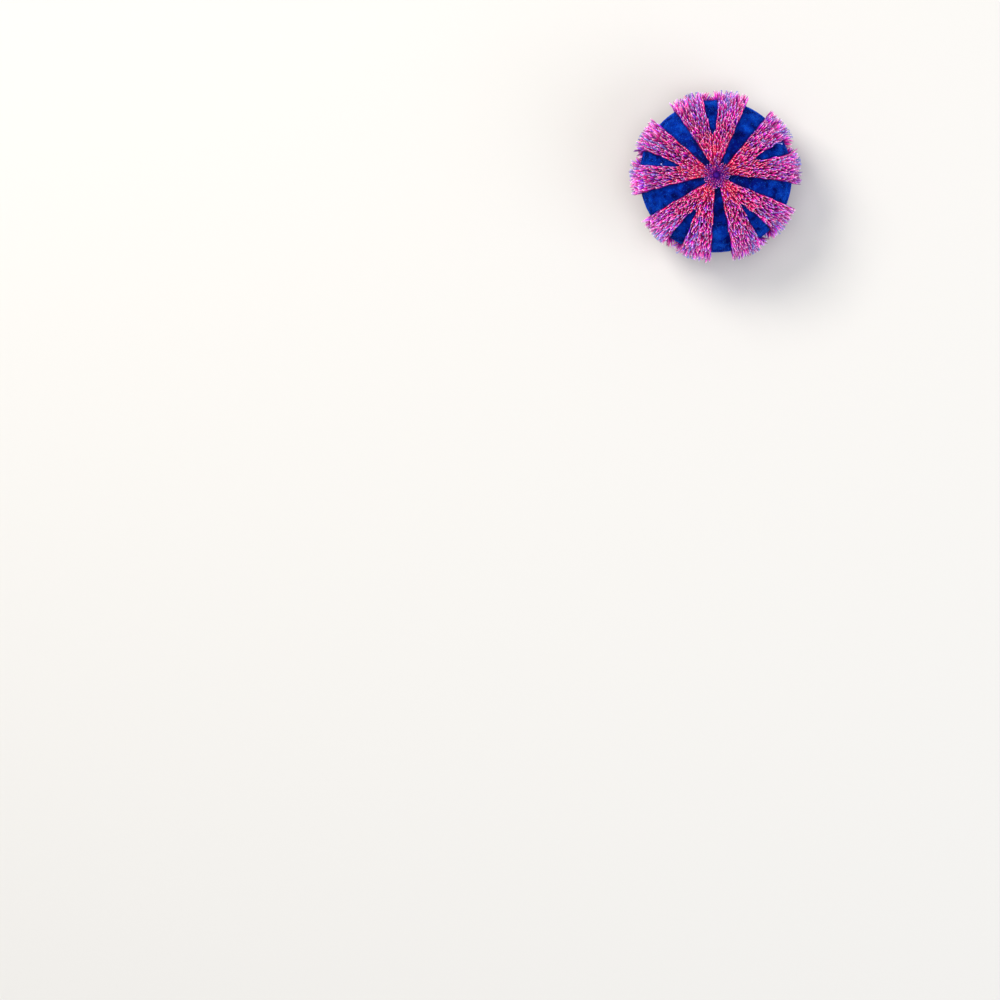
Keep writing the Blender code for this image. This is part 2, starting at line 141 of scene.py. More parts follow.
def corner_pairs(across: list[Array], along: list[Array]) -> Array:
    """Pair up places across and along a map for the corners of alike faces.

    Args:
        across: Places across, an item for each corner of a face in turn.
        along: Places along, in the same order.

    Returns:
        Pairs as (face, corner, 2).
    """
    items = np.broadcast_arrays(*across, *along)
    corners = len(across)
    pairs = [np.stack(part, axis=-1) for part in (items[:corners], items[corners:])]
    return np.stack(pairs, axis=-1).reshape(-1, corners, 2)


def joined_mesh(name: str, points: Array, polygons: list[Array]) -> Mesh:
    """Make one mesh from arrays.

    Args:
        name: The mesh's name.
        points: Corner places, one row each.
        polygons: Arrays of corner numbers, one row a face, all rows of an array alike long.

    Returns:
        The mesh.
    """
    mesh = bpy.data.meshes.new(name)
    corners = np.concatenate([rows.ravel() for rows in polygons])
    counts = np.concatenate([np.full(len(rows), rows.shape[1]) for rows in polygons])
    mesh.vertices.add(len(points))
    mesh.vertices.foreach_set("co", points.ravel())
    mesh.loops.add(len(corners))
    mesh.loops.foreach_set("vertex_index", corners.astype(np.int32))
    mesh.polygons.add(len(counts))
    mesh.polygons.foreach_set("loop_start", (np.cumsum(counts) - counts).astype(np.int32))
    mesh.update(calc_edges=True)
    return mesh


def ring_solids(name: str, solids: list[Array]) -> Mesh:
    """Make one mesh of closed solids, each a stack of rings with a face at either end.

    Args:
        name: The mesh's name.
        solids: For each solid its points as (ring, point, 3).

    Returns:
        The mesh.
    """
    work = bmesh.new()
    for rings in solids:
        loops = [[work.verts.new(spot) for spot in ring] for ring in rings]
        for low, high in zip(loops, loops[1:]):
            for face in zip(low, low[1:] + low[:1], high[1:] + high[:1], high):
                work.faces.new(face)
        work.faces.new(loops[-1])
        work.faces.new(loops[0][::-1])
    bmesh.ops.recalc_face_normals(work, faces=work.faces)
    mesh = bpy.data.meshes.new(name)
    work.to_mesh(mesh)
    work.free()
    return mesh


def merge_meshes(mesh: Mesh, extra: Mesh) -> None:
    """Add a second mesh with the same layers to the first, and remove it.

    Args:
        mesh: The mesh that grows.
        extra: The mesh that is used up.
    """
    work = bmesh.new()
    work.from_mesh(mesh)
    work.from_mesh(extra)
    work.to_mesh(mesh)
    work.free()
    bpy.data.meshes.remove(extra)


def set_bake_map(mesh: Mesh, places: list[Array]) -> None:
    """Give a mesh the map that its colours are baked through.

    Args:
        mesh: The mesh.
        places: Pairs for the face corners, in the order of the faces.
    """
    layer = mesh.uv_layers.new(name=BAKE_MAP)
    pairs = np.concatenate([part.ravel() for part in places])
    layer.uv.foreach_set("vector", pairs.astype(np.float32))


def set_field(mesh: Mesh, name: str, values: Array) -> None:
    """Store one number for each point of a mesh, for its finish to read.

    Args:
        mesh: The mesh.
        name: The name that the finish reads.
        values: One number a point.
    """
    layer = mesh.attributes.new(name, "FLOAT", "POINT")
    layer.data.foreach_set("value", values.astype(np.float32).ravel())


def place_piece(
    name: str, mesh: Mesh, material: Material, nodes: list[str]
) -> Object:
    """Put a finished mesh on the urchin.

    Args:
        name: The piece's name.
        mesh: Its mesh, in the urchin's own frame.
        material: Its finish.
        nodes: The solids that it stands for.

    Returns:
        The piece.
    """
    mesh.materials.append(material)
    mesh.shade_smooth()
    piece = bpy.data.objects.new(name, mesh)
    bpy.context.scene.collection.objects.link(piece)
    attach(piece, ROOT_BODY)
    if nodes:
        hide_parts(*nodes)
    LOG.info("%s: %d faces", name, len(mesh.polygons))
    return piece


# The test and the plan of its bands


@dataclass(frozen=True)
class TestShape:
    """The globe of the test, two half superellipses that meet at its widest level.

    An angle on its meridian runs from 90 degrees at the apex to -90 at the mouth.
    """

    radius: float = 25.8 * MM
    ambitus: float = 20.2 * MM
    rise: float = 20.4 * MM
    drop: float = 16.8 * MM
    dome_power: float = 2.15
    base_power: float = 2.5
    mouth_radius: float = 8.2 * MM
    membrane_sink: float = 0.9 * MM
    table_size: int = 4000
    tangent_step: float = math.radians(0.3)

    @property
    def top(self) -> float:
        """Height of the apex."""
        return self.ambitus + self.rise

    def meridian(self, angle: Array) -> tuple[Array, Array]:
        """Plan radius and height of the surface.

        Args:
            angle: Meridian angles.

        Returns:
            The radii and the heights.
        """
        upper = angle >= 0
        power = np.where(upper, self.dome_power, self.base_power)
        reach = np.where(upper, self.rise, -self.drop)
        radius = self.radius * np.clip(np.cos(angle), 0, None) ** (2 / power)
        height = self.ambitus + reach * np.abs(np.sin(angle)) ** (2 / power)
        return radius, height

    def downward(self, angle: Array) -> tuple[Array, Array]:
        """Unit tangent that runs down the meridian.

        Args:
            angle: Meridian angles.

        Returns:
            Its radial and its vertical part. The outward normal is (-vertical, radial).
        """
        above = self.meridian(np.clip(angle + self.tangent_step, -QUARTER_TURN, QUARTER_TURN))
        below = self.meridian(np.clip(angle - self.tangent_step, -QUARTER_TURN, QUARTER_TURN))
        outward, vertical = below[0] - above[0], below[1] - above[1]
        length = np.hypot(outward, vertical)
        return outward / length, vertical / length

    def table(self) -> tuple[Array, Array, Array]:
        """Follow the meridian from the apex to the mouth.

        Returns:
            Its angles, with the surface length and the plan radius at each.
        """
        angle = np.linspace(QUARTER_TURN, -QUARTER_TURN, self.table_size)
        radius, height = self.meridian(angle)
        steps = np.hypot(np.diff(radius), np.diff(height))
        return angle, np.concatenate([[0.0], np.cumsum(steps)]), radius

    def whole_length(self) -> float:
        """Surface length from the apex to the middle of the mouth."""
        return self.table()[1][-1]

    def span(self, first_radius: float, last_radius: float) -> tuple[float, float]:
        """Surface lengths from the apex between which something grows.

        Args:
            first_radius: Plan radius on the dome where it begins.
            last_radius: Plan radius on the underside where it ends.

        Returns:
            The two lengths.
        """
        _, lengths, radii = self.table()
        return lengths[radii >= first_radius][0], lengths[radii >= last_radius][-1]

    def mouth_edge(self) -> tuple[float, float]:
        """Surface length from the apex to the mouth's edge, and the height there."""
        end = self.span(self.mouth_radius, self.mouth_radius)[1]
        return end, self.meridian(self.angle_at(end))[1]

    def dome_length(self, radius: Array) -> Array:
        """Surface lengths from the apex to places on the dome.

        Args:
            radius: Plan radii.

        Returns:
            The lengths.
        """
        dome = slice(self.table_size // 2)
        _, lengths, radii = self.table()
        return np.interp(radius, radii[dome], lengths[dome])

    def angle_at(self, length: Array) -> Array:
        """Meridian angles at surface lengths from the apex."""
        angle, lengths, _ = self.table()
        return np.interp(length, lengths, angle)

    def frames(self, length: Array, azimuth: Array) -> tuple[Array, Array, Array, Array]:
        """Places on the surface with their directions.

        Args:
            length: Surface lengths from the apex.
            azimuth: Azimuths round the axis.

        Returns:
            Points, outward normals, downward tangents and sideways tangents.
        """
        angle = self.angle_at(length)
        radius, height = self.meridian(angle)
        fall, sink = self.downward(angle)
        outward = radial(azimuth)
        points = outward * radius[..., None] + UP * height[..., None]
        normals = -outward * sink[..., None] + UP * fall[..., None]
        downs = outward * fall[..., None] + UP * sink[..., None]
        return points, normals, downs, np.cross(UP, outward)


@dataclass(frozen=True)
class BandPlan:
    """Where the bare bands lie, as seen from above; the plan below is the same."""

    start: float = 4.0 * MM
    rim: float = 25.8 * MM
    overrun: float = 1.1
    broad_at_apex: float = 1.0 * MM
    broad_at_rim: float = 3.85 * MM
    broad_factors: tuple[float, ...] = (0.93, 1.02, 1.04, 0.93, 1.08)
    narrow_start: float = 12.8 * MM
    narrow_at_rim: float = 2.6 * MM
    narrow_power: float = 0.66

    def broad_half(self, index: Array | int, radius: Array) -> Array:
        """Half the width of a broad band.

        Args:
            index: The band's number, 0 to 4.
            radius: Plan radii.

        Returns:
            The half widths.
        """
        share = np.clip((radius - self.start) / (self.rim - self.start), 0, self.overrun)
        grown = (self.broad_at_rim - self.broad_at_apex) * share
        return (self.broad_at_apex + grown) * np.array(self.broad_factors)[index]

    def narrow_half(self, radius: Array) -> Array:
        """Half the width of a narrow band, below 0 where it hasn't begun.

        Args:
            radius: Plan radii.

        Returns:
            The half widths.
        """
        share = (radius - self.narrow_start) / (self.rim - self.narrow_start)
        share = np.clip(share, -1, self.overrun)
        grown = self.narrow_at_rim * np.abs(share) ** self.narrow_power
        return np.where(share > 0, grown, share * self.narrow_start / 2)

    def locate(self, azimuth: Array) -> tuple[Array, Array]:
        """Find the broad band that is nearest in azimuth.

        Args:
            azimuth: Azimuths round the axis.

        Returns:
            The bands' numbers and the angles from their middles, signed.
        """
        turns = (azimuth - FRONT) / SECTOR
        nearest = np.round(turns)
        return nearest.astype(int) % SECTORS, (turns - nearest) * SECTOR

    def depths(self, radius: Array, azimuth: Array) -> tuple[Array, Array]:
        """How far inside the broad and the narrow bands places lie.

        Args:
            radius: Plan radii.
            azimuth: Azimuths.

        Returns:
            Depths inside the broad band's and the narrow band's nearest edge, below 0 outside.
        """
        index, offset = self.locate(azimuth)
        broad = self.broad_half(index, radius) - radius * np.sin(np.abs(offset))
        narrow = self.narrow_half(radius) - radius * np.sin(HALF_SECTOR - np.abs(offset))
        return broad, narrow

    def limits(self, index: int, radius: Array) -> tuple[Array, Array]:
        """Angles from a broad band's middle to the two edges of the tract beside it.

        Args:
            index: The broad band's number.
            radius: Plan radii.

        Returns:
            The angles to the near edge and to the far edge.
        """
        near = np.arcsin(np.clip(self.broad_half(index, radius) / radius, 0, 1))
        edge = np.clip(self.narrow_half(radius), 0, None)
        far = HALF_SECTOR - np.arcsin(np.clip(edge / radius, 0, 1))
        return near, far


SHAPE = TestShape()
PLAN = BandPlan()


def on_sheet(share: Array) -> Array:
    """Turn shares of the unwrapped skin to places on the bake map."""
    return BAKE_START + BAKE_SPAN * share


def bake_place(length: Array, azimuth: Array) -> Array:
    """Place on the unwrap of the skin, azimuth across and length from the apex upwards.

    Args:
        length: Surface lengths from the apex.
        azimuth: Azimuths.

    Returns:
        Pairs between 0 and 1.
    """
    across = ((azimuth - FRONT) / FULL_TURN) % 1.0
    return on_sheet(np.stack([across, length / SHAPE.whole_length()], axis=-1))


# Finishes


def linear(code: str) -> tuple[float, float, float, float]:
    """Turn an sRGB hex colour to linear light.

    Args:
        code: The colour as "#rrggbb".

    Returns:
        Red, green, blue and an alpha of 1.
    """
    values = [int(code[i : i + 2], 16) / 255 for i in (1, 3, 5)]
    light = [v / 12.92 if v <= 0.04045 else ((v + 0.055) / 1.055) ** 2.4 for v in values]
    return light[0], light[1], light[2], 1.0


def add_node(
    tree: bpy.types.NodeTree,
    kind: str,
    inputs: dict[str | int, object] | None = None,
    output: str | int = 0,
    stops: tuple[tuple[float, str], ...] = (),
    **settings: object,
) -> Socket:
    """Add a node, set its properties, and set or link its inputs.

    Args:
        tree: The node tree that it joins.
        kind: Blender's identifier of the node, after "ShaderNode".
        inputs: Values, sRGB hex colours or sockets for its inputs, by name or by number.
        output: The output that is wanted, by name or by number.
        stops: Positions and sRGB hex colours of a colour ramp, in order.
        settings: The node's own properties.

    Returns:
        The wanted output.
    """
    made = tree.nodes.new("ShaderNode" + kind)
    for name, value in settings.items():
        setattr(made, name, value)
    for key, value in (inputs or {}).items():
        if isinstance(value, Socket):
            tree.links.new(value, made.inputs[key])
        else:
            made.inputs[key].default_value = linear(value) if isinstance(value, str) else value
    if stops:
        elements = made.color_ramp.elements
        for _ in stops[2:]:
            elements.new(0.5)
        for element, (position, code) in zip(elements, stops):
            element.position, element.color = position, linear(code)
    return made.outputs[output]


def lay_over(
    node: Maker, under: Socket | str, over: Socket | str, value: Socket,
    low: float = 0.0, high: float = 1.0, eased: bool = False,
) -> Socket:
    """Lay one colour over another, more and more as a value runs from low to high.

    Args:
        node: Adds a node to the material.
        under: The colour where the value is at low.
        over: The colour where it is at high.
        value: The value.
        low: Where the second colour begins.
        high: Where it is alone.
        eased: Whether the two ends are eased.

    Returns:
        The mixed colour.
    """
    share = node(
        "MapRange", {"Value": value, "From Min": low, "From Max": high},
        interpolation_type="SMOOTHSTEP" if eased else "LINEAR",
    )
    return node("Mix", {0: share, 6: under, 7: over}, output=2, data_type="RGBA")


@dataclass(frozen=True)
class Finish:
    """A finish whose colour, and relief where it has one, are worked out by nodes."""

    name: ClassVar[str]
    roughness: float = 0.5
    specular: float = 0.5
    bump: float = 0.0
    bump_depth: float = 0.0

    def lay_out(self, node: Maker) -> tuple[Socket | str, Socket | None]:
        """Work out the colour and the relief.

        Args:
            node: Adds a node to the material.

        Returns:
            The colour, and the height of the relief or nothing.
        """
        raise NotImplementedError

    def build(self) -> Material:
        """Make the material.

        Returns:
            The material.
        """
        material = bpy.data.materials.new(self.name)
        material.use_nodes = True
        tree = material.node_tree
        shader = tree.nodes["Principled BSDF"].inputs
        colour, height = self.lay_out(partial(add_node, tree))
        if isinstance(colour, str):
            shader["Base Color"].default_value = linear(colour)
        else:
            tree.links.new(colour, shader["Base Color"])
        if height is not None:
            relief = {"Height": height, "Strength": self.bump, "Distance": self.bump_depth}
            tree.links.new(add_node(tree, "Bump", relief), shader["Normal"])
        shader["Roughness"].default_value = self.roughness
        shader["Specular IOR Level"].default_value = self.specular
        return material


@dataclass(frozen=True)
class BandBlue:
    """Ultramarine of the bare bands, which the skin and the knobs on it share.

    It gives the eye navy near the apex and along the bands' edges, cobalt towards the rim,
    and clouds of both between. The navy is painted shade of the spines that crowd the bands,
    and the bright cobalt clouds towards the rim are a painted sheen on the velvet.
    """

    deep: str = "#000344"
    body: str = "#001280"
    rim: str = "#0044cc"
    bright: str = "#146cf0"
    cloud: float = 3.5 * MM
    patch: float = 0.9 * MM
    patch_share: float = 0.25
    sheen_span: tuple[float, float] = (0.65, 0.81)
    deep_span: tuple[float, float] = (0.62, 0.48)
    edge_shade_span: tuple[float, float] = (0.9, -0.3)

    def colour(self, node: Maker, place: Socket, reach: Socket, inside: Socket) -> Socket:
        """Lay out the blue.

        Args:
            node: Adds a node to the material.
            place: Place on the urchin.
            reach: Plan radius as a share of the test's.
            inside: Depth inside the band in millimetres.

        Returns:
            The colour.
        """
        cloud = node("TexNoise", {"Vector": place, "Scale": 1 / self.cloud, "Detail": 3.0})
        patch = node("TexNoise", {"Vector": place, "Scale": 1 / self.patch, "Detail": 2.0})
        cloud = node("Math", {0: patch, 1: self.patch_share, 2: cloud}, operation="MULTIPLY_ADD")
        # Painted shade: the first ramp darkens to navy near the apex, where the spines crowd the
        # bands' narrow ends. The second ramp is the painted sheen, brightest at the rim.
        blue, bright, deep = (
            node("ValToRGB", {"Fac": reach}, stops=stops)
            for stops in (
                ((0.15, self.deep), (0.5, self.body), (0.95, self.rim)),
                ((0.1, self.body), (0.6, self.rim), (1.0, self.bright)),
                ((0.4, self.deep), (1.0, self.body)),
            )
        )
        # Painted sheen: bright cobalt clouds, stronger towards the rim.
        blue = lay_over(node, blue, bright, cloud, *self.sheen_span, eased=True)
        blue = lay_over(node, blue, deep, cloud, *self.deep_span, eased=True)
        # Painted shade: navy over the last 0.9 mm inside the bands' edges, under the spines beside
        # them.
        return lay_over(node, blue, deep, inside, *self.edge_shade_span, eased=True)


@dataclass(frozen=True)
class LivingSkin(Finish):
    """Living skin seen as under water, ultramarine on the bands, dark crimson under spines.

    It gives the eye a deep saturated blue that pales towards the rim, without any real gloss. The
    blue's navy by the spines is painted shade, and its bright cobalt clouds are a painted sheen.
    """

    name: ClassVar[str] = "living_skin"
    band_fleck: str = "#0a58d0"
    tract_deep: str = "#240230"
    tract_body: str = "#6c0c4c"
    crown_deep: str = "#900c44"
    crown_body: str = "#cc3068"
    membrane: str = "#b07892"
    membrane_deep: str = "#5c2a44"
    roughness: float = 0.65
    specular: float = 0.05
    bump: float = 0.5
    bump_depth: float = -0.1 * MM
    grain: float = 0.25 * MM
    wander: float = 2.0 * MM
    edge_stray: float = 0.5
    cloud_scale: float = 0.12 / MM
    fleck_span: tuple[float, float] = (0.2, 0.05)
    gap_span: tuple[float, float] = (0.3, 1.1)
    crown_span: tuple[float, float] = (0.62, 0.25)
    band_span: tuple[float, float] = (0.17, 0.33)

    def lay_out(self, node: Maker) -> tuple[Socket, Socket]:
        """Work out the colour and the grain.

        Args:
            node: Adds a node to the material.

        Returns:
            The colour and the grain.
        """
        place = node("TexCoord", output="Object")
        inside, reach, mouth = (
            node("Attribute", output="Fac", attribute_name=field)
            for field in ("band", "reach", "mouth")
        )
        wander = node("TexNoise", {"Vector": place, "Scale": 1 / self.wander, "Detail": 3.0})
        cloud = node("TexNoise", {"Vector": place, "Scale": self.cloud_scale, "Detail": 4.0})
        grain = node("TexVoronoi", {"Vector": place, "Scale": 1 / self.grain})
        shifted = node("Math", {0: wander, 1: self.edge_stray, 2: inside}, operation="MULTIPLY_ADD")
        # The bands' blue, with its painted spine shade and its painted sheen.
        blue = BandBlue().colour(node, place, reach, inside)
        blue = lay_over(node, blue, self.band_fleck, grain, *self.fleck_span)
        red, crown, lips = (
            node("ValToRGB", {"Fac": value}, stops=((0.35, deep), (end, body)))
            for value, deep, end, body in (
                (cloud, self.tract_deep, 0.7, self.tract_body),
                (cloud, self.crown_deep, 0.7, self.crown_body),
                (wander, self.membrane_deep, 0.65, self.membrane),
            )
        )
        red = lay_over(node, red, crown, reach, *self.crown_span, eased=True)
        red = lay_over(node, red, self.tract_deep, grain, *self.gap_span)
        colour = lay_over(node, red, blue, shifted, *self.band_span, eased=True)
        return lay_over(node, colour, lips, mouth), grain


@dataclass(frozen=True)
class CalciteSpine(Finish):
    """Calcite spine under a thin tinted skin, dark at its root and pale at its tip.

    It gives the eye a fine salt and pepper: coral near the apex, magenta further out, and
    more and more violet and lilac towards the rim. Fine flutes run along each spine.
    """

    name: ClassVar[str] = "calcite_spine"
    magenta: tuple[str, ...] = ("#400048", "#b00880", "#f428b4", "#ff70cc", "#ffe8f8")
    coral: tuple[str, ...] = ("#84083c", "#d81450", "#fa306c", "#fc6c90", "#ffd8dc")
    violet: tuple[str, ...] = ("#1c0060", "#5010b4", "#842cdc", "#a86ce8", "#e0dcff")
    stations: tuple[float, ...] = (0.0, 0.34, 0.62, 0.86, 1.0)
    roughness: float = 0.45
    specular: float = 0.25
    bump: float = 0.6
    bump_depth: float = 0.01 * MM
    mottle: float = 0.5 * MM
    tint_share: float = 0.7
    light_span: tuple[float, float] = (0.35, 1.35)
    value_span: tuple[float, float] = (0.5, 1.76)
    flutes: int = 9

    def lay_out(self, node: Maker) -> tuple[Socket, Socket]:
        """Work out the colour and the flutes.

        Args:
            node: Adds a node to the material.

        Returns:
            The colour and the height of the flutes.
        """
        place = node("TexCoord", output="Object")
        along, tint, warmth, chill = (
            node("Attribute", output="Fac", attribute_name=field)
            for field in ("along", "tint", "warmth", "chill")
        )
        magenta, coral, violet = (
            node("ValToRGB", {"Fac": along}, stops=tuple(zip(self.stations, codes)))
            for codes in (self.magenta, self.coral, self.violet)
        )
        colour = lay_over(node, magenta, coral, warmth)
        colour = lay_over(node, colour, violet, chill)
        mottle = node("TexNoise", {"Vector": place, "Scale": 1 / self.mottle, "Detail": 2.0})
        light = node("Math", {0: tint, 1: self.tint_share, 2: mottle}, operation="MULTIPLY_ADD")
        ends = ("From Min", "From Max", "To Min", "To Max")
        spans = dict(zip(ends, self.light_span + self.value_span))
        value = node("MapRange", {"Value": light, **spans})
        colour = node("HueSaturation", {"Color": colour, "Value": value})
        across = node("SeparateXYZ", {0: node("UVMap", uv_map=BAKE_MAP)})
        turn = {0: across, 1: self.flutes * FULL_TURN / PATCH}
        return colour, node("Math", {0: node("Math", turn, operation="MULTIPLY")}, operation="SINE")


@dataclass(frozen=True)
class KnobVelvet(Finish):
    """Tiny stalked knobs on the bands, the same ultramarine as the skin with paler heads.

    It gives the eye the nap of blue velvet. The knobs are coarser than in life, so that they
    show. Their warmth is their plan radius as a share of the test's, and their chill is their
    depth inside the band.
    """

    name: ClassVar[str] = "knob_velvet"
    stalk: str = "#000844"
    pale: str = "#1c6cdc"
    roughness: float = 0.6
    specular: float = 0.05
    pale_span: tuple[float, float] = (0.84, 1.0)
    head_span: tuple[float, float] = (0.2, 0.8)

    def lay_out(self, node: Maker) -> tuple[Socket, None]:
        """Work out the colour.

        Args:
            node: Adds a node to the material.

        Returns:
            The colour, and no relief.
        """
        along, tint, reach, inside = (
            node("Attribute", output="Fac", attribute_name=field)
            for field in ("along", "tint", "warmth", "chill")
        )
        # The heads share the bands' blue, with its painted spine shade near the apex and the edges
        # and its painted sheen towards the rim.
        head = BandBlue().colour(node, node("TexCoord", output="Object"), reach, inside)
        head = lay_over(node, head, self.pale, tint, *self.pale_span)
        return lay_over(node, self.stalk, head, along, *self.head_span), None


@dataclass(frozen=True)
class TubeFootTissue(Finish):
    """Soft, half clear tissue of a tube foot, blue lilac with a slightly paler sucker.

    It gives the eye a few moist pale threads with a round end among the spines.
    """

    name: ClassVar[str] = "tube_foot_tissue"
    root: str = "#4a2a88"
    stalk: str = "#6c74d0"
    sucker: str = "#989ee6"
    roughness: float = 0.35
    specular: float = 0.3

    def lay_out(self, node: Maker) -> tuple[Socket, None]:
        """Work out the colour.

        Args:
            node: Adds a node to the material.

        Returns:
            The colour, and no relief.
        """
        along = node("Attribute", output="Fac", attribute_name="along")
        stops = ((0.0, self.root), (0.3, self.stalk), (0.85, self.stalk), (0.97, self.sucker))
        return node("ValToRGB", {"Fac": along}, stops=stops), None


@dataclass(frozen=True)
class DiscPlate(Finish):
    """Calcite plates of the apical disc under violet skin, with pale and blue spots.

    It gives the eye a dark violet centre with a fine magenta grain.
    """

    name: ClassVar[str] = "disc_plate"
    body: str = "#840468"
    deep: str = "#1c0468"
    spot: str = "#d83c8c"
    vent: str = "#480c88"
    roughness: float = 0.55
    specular: float = 0.1
    bump: float = 0.6
    bump_depth: float = -0.1 * MM
    granule: float = 0.22 * MM
    cloud: float = 1.25 * MM
    spot_scale: float = 1.1 / MM
    gap_span: tuple[float, float] = (0.35, 1.0)
    granule_span: tuple[float, float] = (0.22, 0.1)
    spot_span: tuple[float, float] = (0.3, 0.12)
    vent_span: tuple[float, float] = (2.1 * MM, 0.63 * MM)

    def lay_out(self, node: Maker) -> tuple[Socket, Socket]:
        """Work out the colour and the granules.

        Args:
            node: Adds a node to the material.

        Returns:
            The colour and the granules.
        """
        place = node("TexCoord", output="Object")
        cloud = node("TexNoise", {"Vector": place, "Scale": 1 / self.cloud, "Detail": 3.0})
        spots = node("TexVoronoi", {"Vector": place, "Scale": self.spot_scale})
        granules = node("TexVoronoi", {"Vector": place, "Scale": 1 / self.granule})
        apex = (0.0, 0.0, SHAPE.top)
        away = node("VectorMath", {0: place, 1: apex}, output="Value", operation="DISTANCE")
        colour = node("ValToRGB", {"Fac": cloud}, stops=((0.35, self.deep), (0.65, self.body)))
        vent = node("ValToRGB", {"Fac": cloud}, stops=((0.3, self.vent), (0.7, self.deep)))
        colour = lay_over(node, colour, self.deep, granules, *self.gap_span)
        colour = lay_over(node, colour, self.spot, granules, *self.granule_span)
        colour = lay_over(node, colour, self.spot, spots, *self.spot_span)
        return lay_over(node, colour, vent, away, *self.vent_span, eased=True), granules


@dataclass(frozen=True)
class PoreRim(Finish):
    """Violet rim of a genital pore, which darkens to near black in its pit. The black is painted
    shade, so that the shallow dip reads as a deep hole.

    It gives the eye five small rings round the middle of the disc.
    """

    name: ClassVar[str] = "pore_rim"
    foot: str = "#50186c"
    crest: str = "#a04ca8"
    pit_shade: str = "#0c0410"
    roughness: float = 0.45

    def lay_out(self, node: Maker) -> tuple[Socket, None]:
        """Work out the colour.

        Args:
            node: Adds a node to the material.

        Returns:
            The colour, and no relief.
        """
        along = node("Attribute", output="Fac", attribute_name="along")
        # Painted shade: near black from the pit's wall down over its floor.
        stops = ((0.0, self.foot), (0.4, self.crest), (0.6, self.crest), (0.8, self.pit_shade))
        return node("ValToRGB", {"Fac": along}, stops=stops), None


@dataclass(frozen=True)
class ToothCalcite(Finish):
    """Hard polished calcite of the teeth, ivory with a worn, slightly darker tip.

    It gives the eye small bright chisels in the mouth.
    """

    name: ClassVar[str] = "tooth_calcite"
    body: str = "#efe6d2"
    worn: str = "#c8b596"
    roughness: float = 0.25
    streak: float = 0.5 * MM
    streak_share: float = 0.25

    def lay_out(self, node: Maker) -> tuple[Socket, None]:
        """Work out the colour.

        Args:
            node: Adds a node to the material.

        Returns:
            The colour, and no relief.
        """
        along = node("Attribute", output="Fac", attribute_name="along")
        place = node("TexCoord", output="Object")
        streak = node("TexNoise", {"Vector": place, "Scale": 1 / self.streak, "Detail": 2.0})
        mixed = node("Math", {0: streak, 1: self.streak_share, 2: along}, operation="MULTIPLY_ADD")
        return node("ValToRGB", {"Fac": mixed}, stops=((0.6, self.body), (1.0, self.worn))), None


@dataclass(frozen=True)
class StudioFloor(Finish):
    """Matt painted board. It gives the eye a warm, even white."""

    name: ClassVar[str] = "studio_floor_paint"
    paint: str = "#dddbd7"
    roughness: float = 0.8
    bump: float = 0.05
    bump_depth: float = 0.2 * MM
    grain: float = 2.5 * MM

    def lay_out(self, node: Maker) -> tuple[str, Socket]:
        """Give the paint and its grain.

        Args:
            node: Adds a node to the material.

        Returns:
            The paint's code and the grain.
        """
        place = node("TexCoord", output="Object")
        return self.paint, node("TexNoise", {"Vector": place, "Scale": 1 / self.grain})


# The skin


